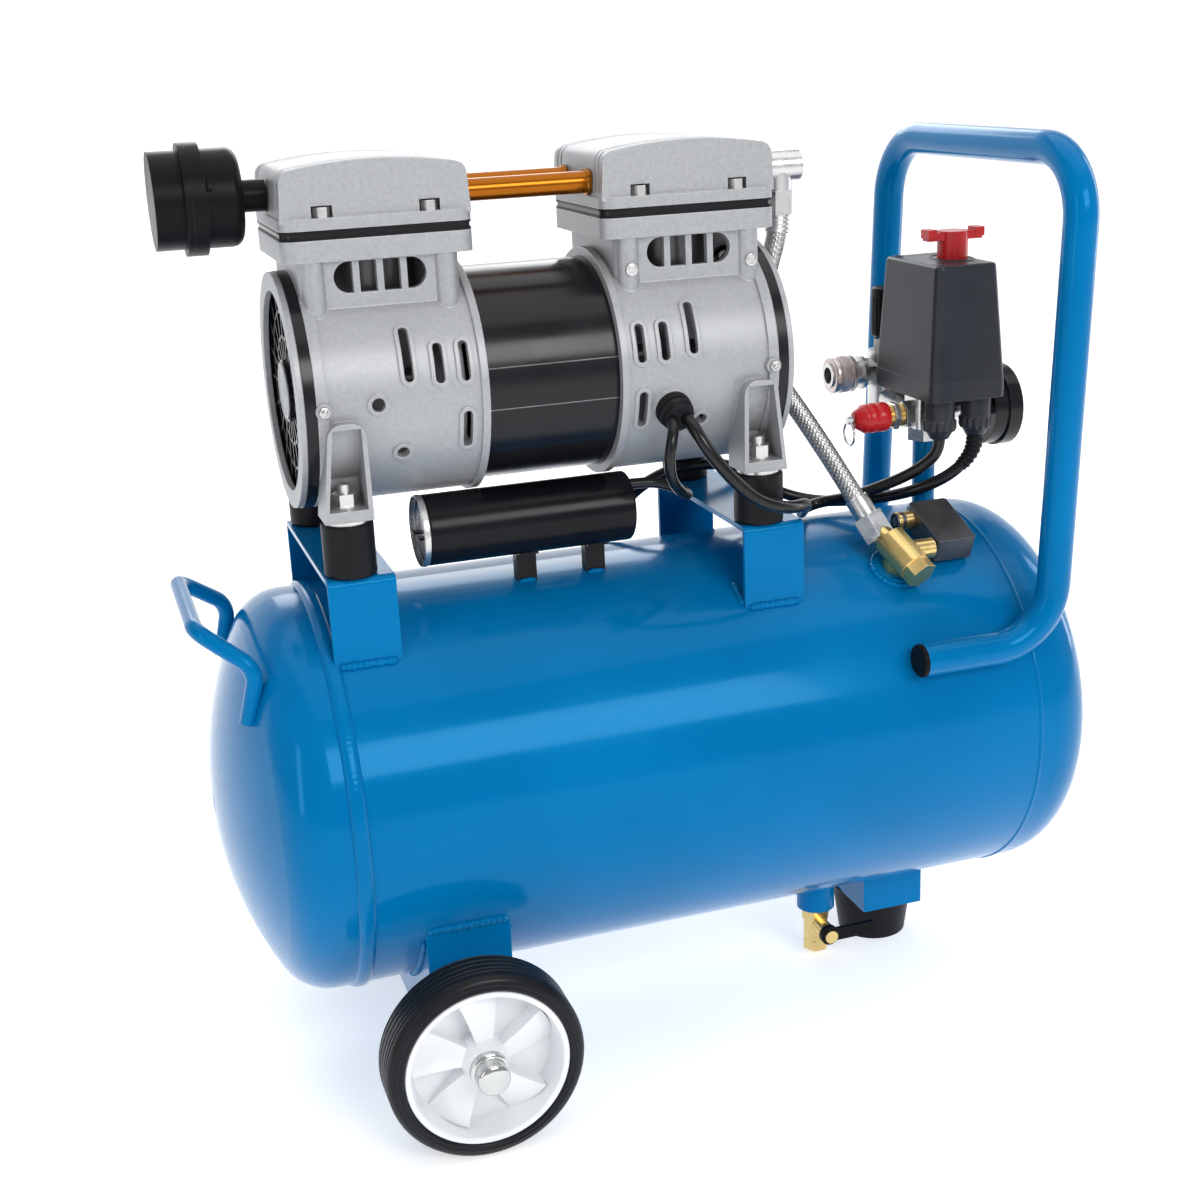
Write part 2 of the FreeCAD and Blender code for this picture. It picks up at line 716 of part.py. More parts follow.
def isolator(side_x, side_y):
    x = PUMP_X + side_x * LUG_U
    body = rod(ISOLATOR_R, V(x, side_y * MOUNT_Y, SADDLE_TOP), Z, ISOLATOR_TOP - SADDLE_TOP)
    body = body.makeFillet(1.5, [e for e in body.Edges if len(e.Vertexes) == 1])
    return body.cut(rod(4, V(x, side_y * MOUNT_Y, 300), Z, 60))


def isolator_stud(side_x, side_y):
    at = V(PUMP_X + side_x * LUG_U, side_y * MOUNT_Y, 0)
    stud = rod(4, at + Z * (SADDLE_TOP - 9), Z, LUG_Z + 19 - SADDLE_TOP + 9)
    washer = rod(12.5, at + Z * ISOLATOR_TOP, Z, LUG_Z - ISOLATOR_TOP)
    top_washer = rod(8.5, at + Z * (LUG_Z + 6), Z, 1.6)
    nut = hexagon(13, at + Z * (LUG_Z + 7.6), Z, 6.4)
    low_nut = hexagon(13, at + Z * (SADDLE_TOP - 9.5), Z, 6.4)
    return fuse([stud, washer, top_washer, nut, low_nut])


# ---- intake filter ------------------------------------------------------------------
FILTER_R = 26.2
FILTER_Z = 520.0
FILTER_LEFT = -268.2
FILTER_SPLIT = -249.0
FILTER_RIGHT = -221.5


def intake_filter_body():
    start = V(FILTER_SPLIT, 0, FILTER_Z)
    drum = rod(FILTER_R, start, X, FILTER_RIGHT - FILTER_SPLIT)
    tail = [e for e in drum.Edges if len(e.Vertexes) == 1 and e.BoundBox.XMin > FILTER_RIGHT - 1]
    drum = drum.makeFillet(6, tail)
    band = rod(FILTER_R + 3.6, start, X, 7.5)
    neck = rod(8.6, V(FILTER_RIGHT - 1, 0, FILTER_Z), X, PUMP_X - HEAD_U - HEAD_HALF_X + 1.6 - FILTER_RIGHT)
    hollow = rod(FILTER_R - 2, V(FILTER_SPLIT - 1, 0, FILTER_Z), X, 20)
    bore = rod(6, V(FILTER_RIGHT - 20, 0, FILTER_Z), X, 40)
    return cut(fuse([drum, band, neck]), [hollow, bore])


def intake_filter_cover():
    start = V(FILTER_LEFT, 0, FILTER_Z)
    drum = rod(FILTER_R - 0.2, start, X, FILTER_SPLIT - FILTER_LEFT)
    band = rod(FILTER_R + 3.6, V(FILTER_SPLIT - 3.5, 0, FILTER_Z), X, 3.5)
    hollow = rod(FILTER_R - 2, start + X * 2.2, X, 30)
    return fuse([drum, band]).cut(hollow)


# ---- delivery line ------------------------------------------------------------------
ELBOW_X = 95.0
HOSE_R = 6.0
HOSE_POINTS = [
    V(95, 0, 489), V(95, 0, 477), V(88, 1, 456), V(85, 3, 428), V(86, 4, 400),
    V(101, 1, 379), V(119, -22, 342), V(133.6, -43.4, 307.4),
]
HOSE_END = (HOSE_POINTS[-1] - HOSE_POINTS[-2]).normalize()
VALVE_CENTRE = on_tank(VALVE_X, VALVE_ANGLE, VALVE_HEIGHT)
VALVE_RUN = V(0.29, -0.785, -0.55).normalize()


def hose_nut():
    return hexagon(18, HOSE_POINTS[-1], HOSE_END, 16)


def hose_fittings():
    """Outlet elbow on the right head, and the hose's two nuts."""
    nipple = rod(6.5, V(PUMP_X + HEAD_U + HEAD_HALF_X - 8, 0, PORT_Z), X, 20)
    nipple_hex = hexagon(17, V(PUMP_X + HEAD_U + HEAD_HALF_X + 1, 0, PORT_Z), X, 7)
    elbow = fuse([rod(9.2, V(ELBOW_X - 12, 0, PORT_Z), X, 25), rod(8.6, V(ELBOW_X, 0, PORT_Z - 14), Z, 18)])
    top_nut = hexagon(17, V(ELBOW_X, 0, 489), Z, 14)
    ferrule = rod(HOSE_R + 1.3, HOSE_POINTS[-1] - HOSE_END * 12, HOSE_END, 12)
    ferrule = ferrule.cut(rod(HOSE_R, HOSE_POINTS[-1] - HOSE_END * 13, HOSE_END, 13))
    return [fuse([nipple, nipple_hex, elbow]), top_nut, fuse([hose_nut(), ferrule])]


def braided_hose():
    radii = cord_radii(HOSE_POINTS)
    print("hose radii", [round(r) for r in radii])
    return bent_rod(HOSE_POINTS, radii, HOSE_R)


def check_valve():
    """Brass non-return valve: inlet from the hose, leg into the tank, cleaning cap."""
    inlet_start = HOSE_POINTS[-1] + HOSE_END * 10
    reach = VALVE_CENTRE - inlet_start
    inlet = rod(7.2, inlet_start, reach, reach.Length)
    body = rod(10.2, VALVE_CENTRE - VALVE_RUN * 11, VALVE_RUN, 24)
    cap = hexagon(17, VALVE_CENTRE + VALVE_RUN * 13, VALVE_RUN, 8)
    seat = on_tank(VALVE_X, VALVE_ANGLE, BOSS_HEIGHT)
    leg = rod(8.5, seat, VALVE_CENTRE - seat, (VALVE_CENTRE - seat).Length)
    port = rod(6.2, VALVE_CENTRE, X, 21)
    below_boss_top = rod(30, seat, seat - VALVE_CENTRE, 20)
    return cut(fuse([inlet, body, cap, leg, port]), [hose_nut(), below_boss_top])


def unloader_valve():
    """The coil block that lies on the tank, with its brass exhaust."""
    angle = 22.0
    coil = rounded_block(168, 194, -21, 21, 2.2, 17.4, 2, Z)
    nozzle = rod(5.5, V(156, 13, 10), X, 13)
    stub = rod(5.0, V(VALVE_CENTRE.x + 21, -15, 9.5), X, 5)
    shape = fuse([coil, nozzle, stub])
    lift = on_tank(0, -angle, 0)
    shape.Placement = FreeCAD.Placement(lift, FreeCAD.Rotation(X, angle))
    return shape


# ---- switch and controls ------------------------------------------------------------
def rounded_outline(x0, x1, y0, y1, z, radius):
    k = radius * (1 - math.sqrt(0.5))
    points = [V(x0 + radius, y0, z), V(x1 - radius, y0, z), V(x1 - k, y0 + k, z),
              V(x1, y0 + radius, z), V(x1, y1 - radius, z), V(x1 - k, y1 - k, z),
              V(x1 - radius, y1, z), V(x0 + radius, y1, z), V(x0 + k, y1 - k, z),
              V(x0, y1 - radius, z), V(x0, y0 + radius, z), V(x0 + k, y0 + k, z)]
    edges = []
    for i in range(0, 12, 3):
        edges.append(Part.LineSegment(points[i], points[i + 1]).toShape())
        edges.append(Part.Arc(points[i + 1], points[i + 2], points[(i + 3) % 12]).toShape())
    return Part.Wire(edges)


def tapered_box(inset, top):
    low = rounded_outline(179.8 + inset, 230.8 - inset, -39.8 + inset, 37.8 - inset, SWITCH_SEAM_Z, 5)
    high = rounded_outline(184 + inset, 225.6 - inset, -36 + inset, 34 - inset, top, 5)
    return Part.makeLoft([low, high], True)


def switch_base():
    shell = rounded_block(179.5, 231, -40, 38, SWITCH_Z, SWITCH_SEAM_Z, 5)
    well = rounded_block(182, 228.5, -37.5, 35.5, SWITCH_Z + 3, SWITCH_SEAM_Z + 1, 4)
    contacts = rounded_block(188, 204, -24, 24, SWITCH_Z + 2, SWITCH_Z + 45, 2)
    return shell.cut(well).fuse(contacts)


def switch_cover():
    shell = tapered_box(0, SWITCH_TOP)
    top_edges = [e for e in shell.Edges if e.BoundBox.ZMin > SWITCH_TOP - 0.1]
    shell = shell.makeFillet(2.5, top_edges)
    shell = shell.cut(tapered_box(2.4, SWITCH_TOP - 2.4))
    return shell.cut(rod(KNOB_STEM_R + RUN_CLEAR, V(KNOB_X, 0, SWITCH_TOP - 10), Z, 20))


def switch_knob():
    stem = rod(KNOB_STEM_R, V(KNOB_X, 0, 440), Z, 31)
    wings = block(KNOB_X - 19, KNOB_X + 19, -4.5, 4.5, 465.5, 470.5)
    tips = [block(KNOB_X + s * 16.5 - 3, KNOB_X + s * 16.5 + 3, -5, 5, 467, 472.5) for s in SIDES]
    return fuse([stem, wings.makeFillet(1.5, edges_along(wings, Z))] + tips)


GLAND_X = (193.0, 218.5)
GLAND_Y = -25.0
GLAND_Z = 346.0


def cable_gland(x):
    body = rod(9.4, V(x, GLAND_Y, 357), Z, SWITCH_Z - 357)
    nut = hexagon(19, V(x, GLAND_Y, 351), Z, 7)
    neck = Part.makeCone(6.0, 8.6, 351 - GLAND_Z, V(x, GLAND_Y, GLAND_Z), Z)
    return fuse([body, nut, neck])


def manifold():
    """Cross piece on the riser, and the regulator body behind the switch."""
    nut = hexagon(20, V(RISER_X, 0, MANIFOLD_Z - 17), Z, 8)
    cross = rounded_block(RISER_X - 10, RISER_X + 10, -10, 10, MANIFOLD_Z - 9, SWITCH_Z, 3)
    left_arm = hexagon(15, V(RISER_X - 16, 0, MANIFOLD_Z), X, 8)
    right_arm = rod(6.5, V(RISER_X + 8, 0, MANIFOLD_Z), X, 29)
    back_arm = rod(6.5, V(RISER_X, 8, MANIFOLD_Z), Y, 42)
    cross_piece = fuse([nut, cross, left_arm, right_arm, back_arm])
    base = V(REGULATOR.x, REGULATOR.y, MANIFOLD_Z - 9)
    body = rod(14, base, Z, 40)
    collar = hexagon(20, base + Z * 40, Z, 8)
    adapter = hexagon(16, V(182, REGULATOR.y, REGULATOR.z), X, 12)
    spindle = rod(4, base + Z * 48, Z, 3)
    regulator = fuse([body, collar, adapter, spindle]).cut(cross_piece)
    return [cross_piece, regulator]


def regulator_knob():
    start = V(REGULATOR.x, REGULATOR.y, 398.5)
    body = rod(12, start, Z, 32)
    body = body.makeFillet(2, [e for e in body.Edges if len(e.Vertexes) == 1])
    flutes = []
    for i in range(18):
        a = math.radians(20 * i)
        flutes.append(rod(0.9, start + V(12.3 * math.cos(a), 12.3 * math.sin(a), 0), Z, 26))
    return cut(body, flutes + [rod(4 + RUN_CLEAR, start - Z, Z, 3)])


def pressure_gauge():
    back = GAUGE_FACE_X - 19
    case = rod(GAUGE_R - 1.5, V(back, 0, MANIFOLD_Z), X, 11)
    bezel = rod(GAUGE_R, V(back + 10, 0, MANIFOLD_Z), X, 9)
    cavity = rod(GAUGE_R - 3, V(back + 10, 0, MANIFOLD_Z), X, 10)
    post = rod(1.2, V(back + 9, 0, MANIFOLD_Z), X, 3)
    return fuse([fuse([case, bezel]).cut(cavity), post])


def gauge_needle():
    start = V(GAUGE_FACE_X - 7.6, 0, MANIFOLD_Z)
    hub = rod(3, start, X, 1.6)
    hand = prism([start + V(0.3, -1.2, 4), start + V(0.3, 1.2, 4), start + V(0.3, 0.4, -17),
                  start + V(0.3, -0.4, -17)], X * 1.0)
    hand.rotate(start, X, 45)
    return fuse([hub, hand]).cut(rod(1.2 + RUN_CLEAR, start - X, X, 2))


def safety_valve():
    """Brass body and red cap, pointing away from the manifold."""
    base = V(RISER_X - 16, 0, MANIFOLD_Z)
    body = rod(7.0, base - X * 11, X, 11)
    flange = hexagon(16, base - X * 8, X, 4)
    cap = fuse([rod(9, base - X * 28, X, 17), Part.makeCone(5.5, 9, 6, base - X * 34, X)])
    return [fuse([body, flange]), cap.cut(rod(1.6, base - X * 35, X, 20))]


def safety_valve_pull():
    tip = V(RISER_X - 16 - 34, 0, MANIFOLD_Z)
    pin = rod(1.5, tip - X * 4.5, X, 16)
    eye = rod(2.6, tip - X * 4.5, X, 3)
    loop = Part.makeTorus(7.2, 0.8, tip + V(-3.0, 0, -8.4), X)
    return fuse([pin, eye, loop])


def coupler_body():
    """Quick coupler; its socket opens towards -X."""
    mouth = V(157, REGULATOR.y, REGULATOR.z)
    core = rod(8.0, mouth, X, 25)
    lip = rod(8.0, mouth, X, 2)
    stop = rod(11, V(179.5, REGULATOR.y, REGULATOR.z), X, 2.5)
    return fuse([core, lip, stop]).cut(rod(5.5, mouth - X, X, 21))


def coupler_sleeve():
    start = V(158.5, REGULATOR.y, REGULATOR.z)
    sleeve = rod(12, start, X, 16)
    sleeve = sleeve.makeFillet(1.2, [e for e in sleeve.Edges if len(e.Vertexes) == 1])
    grooves = [ring(13, 11.2, start + X * d, X, 1.2) for d in (3.4, 11.4)]
    return cut(sleeve, grooves + [rod(8.0 + RUN_CLEAR, start - X, X, 20)])


def drain_valve():
    at = V(DRAIN_X, DRAIN_Y, 0)
    column = rod(8.0, at + Z * 6, Z, 30)
    collar = hexagon(17, at + Z * 28, Z, 8)
    outlet = hexagon(15, at + Z * 5, Z, 7)
    stem = rod(5.5, V(DRAIN_X, DRAIN_Y, LEVER_Z), -Y, 19)
    pivot = rod(2.5, V(DRAIN_X, DRAIN_Y, LEVER_Z), -Y, 25)
    screw = rod(4.4, V(DRAIN_X, DRAIN_Y - 23.6, LEVER_Z), -Y, 2.0)
    bore = rod(3.0, at + Z * 4, Z, 14)
    return fuse([column, collar, outlet, stem, pivot, screw]).cut(bore)


def drain_lever():
    y0 = DRAIN_Y - 23.2
    eye = rod(6.5, V(DRAIN_X, DRAIN_Y - 19.4, LEVER_Z), -Y, 3.8)
    arm = block(DRAIN_X, DRAIN_X + 34, y0, y0 + 3, LEVER_Z - 4.2, LEVER_Z + 4.2)
    arm = arm.makeFillet(3.5, [e for e in edges_along(arm, Y) if e.BoundBox.XMin > DRAIN_X + 10])
    hole = rod(2.5 + RUN_CLEAR, V(DRAIN_X, DRAIN_Y - 18, LEVER_Z), -Y, 10)
    return fuse([eye, arm]).cut(hole)


# ---- capacitor ----------------------------------------------------------------------
CAP_Y = -30.0
CAP_Z = 330.0
CAP_R = 20.5
CAP_LEFT = -141.0
CAP_RIGHT = -18.0


def capacitor():
    can = rod(CAP_R, V(CAP_LEFT, CAP_Y, CAP_Z), X, CAP_RIGHT - CAP_LEFT)
    can = can.makeFillet(1.5, [e for e in can.Edges if len(e.Vertexes) == 1])
    tabs = [block(CAP_LEFT - 5, CAP_LEFT + 1, CAP_Y + s * 7 - 3, CAP_Y + s * 7 + 3, CAP_Z - 3, CAP_Z - 2)
            for s in SIDES]
    return fuse([can] + tabs)


def capacitor_clamp(x):
    """A cradle under the can's back, with a foot welded to the tank."""
    strap = ring(CAP_R + 1.4, CAP_R, V(x - 6, CAP_Y, CAP_Z), X, 12)
    strap = strap.common(block(x - 7, x + 7, CAP_Y - 3, CAP_Y + 30, CAP_Z - 30, CAP_Z + 7))
    leg = block(x - 6, x + 6, CAP_Y + 3, CAP_Y + 11, 280, CAP_Z - 12)
    leg = leg.cut(tank_cylinder()).cut(rod(CAP_R + 0.7, V(x - 10, CAP_Y, CAP_Z), X, 20))
    return fuse([strap, leg])


# ---- leads --------------------------------------------------------------------------
MOTOR_LEAD = [
    V(5.2, -69, 389.4), V(6, -78.5, 386), V(8.5, -85, 378.5), V(15, -88.5, 367), V(27, -90, 352),
    V(42, -89.5, 338.5), V(62, -85.5, 331), V(80, -70.5, 328), V(89, -50, 321.5),
    V(98, -28, 312.5), V(107, -6, 304), V(114, 10, 300), V(120.5, 19.5, 299), V(129, 23, 300),
    V(137, 19.5, 302), V(142.5, 11.5, 304.5), V(150, 2, 308.5), V(161, -5, 313.5),
    V(175, -12, 320), V(186, -19, 328), V(193, -25, 338), V(193, -25, GLAND_Z),
]
CAPACITOR_LEAD = [
    V(-2.6, -69, 389.4), V(-4, -78, 386), V(-8, -84, 377.5), V(-10, -84, 365), V(-5.5, -77, 352.5),
    V(4, -67, 343), V(12, -57, 338.5), V(11, -47, 339.5), V(3, -41.5, 343), V(-7, -38, 344.5),
    V(CAP_RIGHT, -38, 344.5),
]
MAINS_LEAD = [
    V(218.5, -25, GLAND_Z), V(218.5, -25, 339), V(212.5, -24, 328.5), V(201, -20.5, 319),
    V(186, -12.5, 311), V(170, 2, 304.5), V(155, 20, 300), V(139, 36, 297.5), V(120, 44, 302),
    V(101, 45.5, 312.5), V(81, 42, 327.5), V(59, 38.5, 332), V(37, 40, 330.5), V(19, 48, 320),
    V(9, 62, 303), V(6, 78.5, 284), V(5, 95, 264), V(4.2, 110.3, 244.6), V(3.6, 122.8, 220.1),
    V(3.4, 129.7, 194.7), V(3.6, 132.3, 168), V(4.2, 132.9, 141), V(5, 132.4, 113.5),
    V(5.4, 131.8, 86), V(5, 131.4, 60), V(3, 131.2, 38.5), V(-3.5, 130.8, 22.8),
    V(-15.5, 129.6, 10.8), V(-31.2, 127.6, 4.6), V(-45, 126.4, 4.0),
]


def grommet():
    plug = rod(GROMMET_R - 0.1, V(0, 0, CASE_BORE_R), Z, 6)
    collar = rod(GROMMET_R + 1.6, V(0, 0, SLOT_RIM_R + 0.1), Z, 3.5)
    snout = Part.makeCone(GROMMET_R + 1, 8, 8, V(0, 0, SLOT_RIM_R + 3), Z)
    return radial(fuse([plug, collar, snout]), GROMMET[0], GROMMET[1])


def held_leads():
    """Motor lead and capacitor lead, held at both ends, with their shared grommet."""
    motor = cord("motor_lead", MOTOR_LEAD, LEAD_R)
    run = cord("capacitor_lead", CAPACITOR_LEAD, 3.2)
    boot = grommet().fuse([motor, run])
    return [boot]


def mains_coil():
    """Outer shape of the wound lead: two rings side by side, two layers high."""
    half_width = COIL_RINGS * LEAD_R
    height = COIL_LAYERS * 2 * LEAD_R
    base = COIL_CENTRE + Z * 0.1
    return ring(COIL_MID_R + half_width, COIL_MID_R - half_width, base, Z, height)


def mains_plug():
    """Plain two-pin plug lying beside the coil."""
    y = COIL_CENTRE.y + COIL_MID_R + LEAD_R
    z = 12.0
    x = COIL_CENTRE.x + 24
    relief = Part.makeCone(4.5, 7.0, 26, V(x, y, z), X)
    body = rounded_block(x + 24, x + 58, y - 15, y + 15, 0.1, z + 11, 4, X)
    pins = [rod(2.4, V(x + 56, y + s * 9.5, z), X, 21) for s in SIDES]
    return fuse([relief, body] + pins)


# ---- assembly -----------------------------------------------------------------------
os.makedirs("parts", exist_ok=True)

save("tank_barrel", [tank_barrel()])
save("tank_domes", tank_domes())
save("tank_bosses", tank_bosses())
save("saddle_brackets", [saddle_bracket(x) for x in SADDLE_X])
save("axle_bracket", [axle_bracket()])
save("foot_bracket", [foot_bracket()])
save("rubber_foot", [rubber_foot()])
save("frame_handle", [frame_handle()])
save("handle_end_caps", handle_end_caps())
save("carry_handle", [carry_handle()])
for wheel_name, wheel_side in (("front", -1), ("rear", 1)):
    save("wheel_" + wheel_name, [wheel(wheel_side)])
    save("tyre_" + wheel_name, [tyre(wheel_side)])
save("axle_bolts", [axle_bolt(side) for side in SIDES])

save("crankcase_left", [mirrored(crankcase(CASE_HOLE), -1)])
save("crankcase_right", [crankcase(GROMMET + (2 * GROMMET_R, 2 * GROMMET_R))])
save("fan_guards", [mirrored(fan_guard(), side) for side in SIDES])
save("guard_rings", [mirrored(guard_ring(), side) for side in SIDES])
save("cooling_fans", [mirrored(cooling_fan(), side) for side in SIDES])
save("motor_barrel", [motor_barrel()])
save("stator", [stator()])
save("rotor_shaft", [rotor_shaft()])
save("shaft_bearings", [mirrored(shaft_bearing(), side) for side in SIDES])
save("piston_rod_left", [piston_rod(-1)])
save("piston_rod_right", [piston_rod(1)])
save("cylinder_liners", [mirrored(liner(), side) for side in SIDES])
save("valve_plates", [mirrored(valve_plate(), side) for side in SIDES])
save("head_gaskets", [mirrored(layer, side) for side in SIDES for layer in head_gaskets()])
save("head_covers", [mirrored(head_cover(), side) for side in SIDES])
save("head_bolts", [mirrored(bolt, side) for side in SIDES for bolt in head_bolts()])
save("crossover_tubes", [crossover_tube(side * CROSSOVER_Y) for side in SIDES])
save("rubber_isolators", [isolator(sx, sy) for sx in SIDES for sy in SIDES])
save("isolator_studs", [isolator_stud(sx, sy) for sx in SIDES for sy in SIDES])
save("intake_filter_body", [intake_filter_body()])
save("intake_filter_cover", [intake_filter_cover()])

save("hose_fittings", hose_fittings())
save("braided_hose", [braided_hose()])
save("check_valve", [check_valve()])
save("unloader_valve", [unloader_valve()])

save("switch_base", [switch_base()])
save("switch_cover", [switch_cover()])
save("switch_knob", [switch_knob()])
save("cable_glands", [cable_gland(x) for x in GLAND_X])
save("manifold", manifold())
save("regulator_knob", [regulator_knob()])
save("pressure_gauge", [pressure_gauge()])
save("gauge_needle", [gauge_needle()])
save("safety_valve", safety_valve())
save("safety_valve_pull", [safety_valve_pull()])
save("coupler_body", [coupler_body()])
save("coupler_sleeve", [coupler_sleeve()])
save("drain_valve", [drain_valve()])
save("drain_lever", [drain_lever()])

save("capacitor", [capacitor()])
save("capacitor_clamps", [capacitor_clamp(x) for x in (-80, -37.5)])
save("held_leads", held_leads())
save("mains_lead", [cord("mains_lead", MAINS_LEAD, LEAD_R)])
save("mains_coil", [mains_coil()])
save("mains_plug", [mains_plug()])
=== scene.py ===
import math
import random

import bmesh
import bpy
from mathutils import Matrix, Vector


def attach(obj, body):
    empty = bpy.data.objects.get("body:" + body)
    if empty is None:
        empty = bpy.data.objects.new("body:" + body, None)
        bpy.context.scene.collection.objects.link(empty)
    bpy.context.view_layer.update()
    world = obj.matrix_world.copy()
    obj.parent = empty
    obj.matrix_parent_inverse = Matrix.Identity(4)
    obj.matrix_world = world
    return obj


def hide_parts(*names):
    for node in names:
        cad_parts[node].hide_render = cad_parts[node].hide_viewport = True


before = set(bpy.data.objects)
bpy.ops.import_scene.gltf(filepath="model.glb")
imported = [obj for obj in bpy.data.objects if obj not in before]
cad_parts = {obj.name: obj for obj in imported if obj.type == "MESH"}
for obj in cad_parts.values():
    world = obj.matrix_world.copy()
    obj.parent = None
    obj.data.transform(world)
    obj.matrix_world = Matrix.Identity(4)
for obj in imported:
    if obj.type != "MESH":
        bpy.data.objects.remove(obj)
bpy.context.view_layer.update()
random.seed(24)

# Lengths are millimetres, as in the CAD source, and MM turns them into metres.
MM = 0.001
SIDES = (-1, 1)
BODY = "tank_frame"

TANK_R = 121.0
TANK_Z = 173.0
SEAM_LEFT = -206.2
SEAM_RIGHT = 213.5
PUMP_X = -67.4
PUMP_Z = 412.4
CASE_R = 64.5
HEAD_U = 88.7
AXLE_X = -154.0
AXLE_Z = 56.5
LEAD_R = 3.75
GLAND_X = (193.0, 218.5)
GLAND_Y = -25.0
GAUGE_FACE_X = 252.5
MANIFOLD_Z = 358.0
ALONG_X = (1, 0, 0)
ALONG_LEFT = (-1, 0, 0)

# welds on the tank; a bead has a ring at each step, and its lumps are in radians per millimetre
SADDLES_X = (-185.8, 58.4)
CRADLE_LEGS_X = (-80, -37.5)
BEAD_STEP = 0.7
BEAD_LUMPS = 1.9

# wheels: the inner face's distance from the middle, and the tread
WHEEL_INNER_Y = 130
SPOKES = 5
TYRE_STEPS = 540
TREAD_GROOVES = (5.5, 10.0, 14.5, 19.0, 22.6)
# radius and offset from the groove's middle
GROOVE_SECTION = ((56.5, -0.9), (55.9, -0.6), (55.2, -0.35), (55.2, 0.35), (55.9, 0.6), (56.5, 0.9))

# pump and its filter
BARREL_R = 60.9
BARREL_HALF = 38.4
NECK_SCREW_Z = 469.5
GROMMET_TURN = 108.3
FILTER_MIDDLE = (-239.6, 0, 520)

# gauge scale, in degrees and millimetres
DIAL_START = 225
DIAL_SWEEP = 270
DIAL_MARKS = 50
MARK_R = 21
DIGIT_R = 14.6


# ---- camera --------------------------------------------------------------------------
CAMERA_AT = (-335.98, -963.68, 589.41)
CAMERA_YAW = math.radians(17.774)
CAMERA_PITCH = math.radians(17.866)
CAMERA_ROLL = math.radians(2.5035)
CAMERA_LENS = 51.56
CAMERA_SENSOR = 36


def make_camera():
    flat = math.cos(CAMERA_PITCH)
    forward = Vector((math.sin(CAMERA_YAW) * flat, math.cos(CAMERA_YAW) * flat, -math.sin(CAMERA_PITCH)))
    right = Vector((math.cos(CAMERA_YAW), -math.sin(CAMERA_YAW), 0))
    down = forward.cross(right)
    across = right * math.cos(CAMERA_ROLL) + down * math.sin(CAMERA_ROLL)
    below = down * math.cos(CAMERA_ROLL) - right * math.sin(CAMERA_ROLL)
    camera = bpy.data.objects.new("camera", bpy.data.cameras.new("camera"))
    camera.data.lens = CAMERA_LENS
    camera.data.sensor_width = CAMERA_SENSOR
    camera.matrix_world = Matrix.Translation(Vector(CAMERA_AT) * MM) @ Matrix(
        (across, -below, -forward)).transposed().to_4x4()
    bpy.context.scene.collection.objects.link(camera)
    bpy.context.scene.camera = camera


make_camera()


# ---- looks ---------------------------------------------------------------------------
NOISE_LOW = 0.3
NOISE_HIGH = 0.7
# cosine between the rounded and the true surface, where the edge colour (wear, and a painted highlight on the
# blue paint) starts and where it is full
EDGE_TONE_START = 0.985
EDGE_TONE_FULL = 0.90


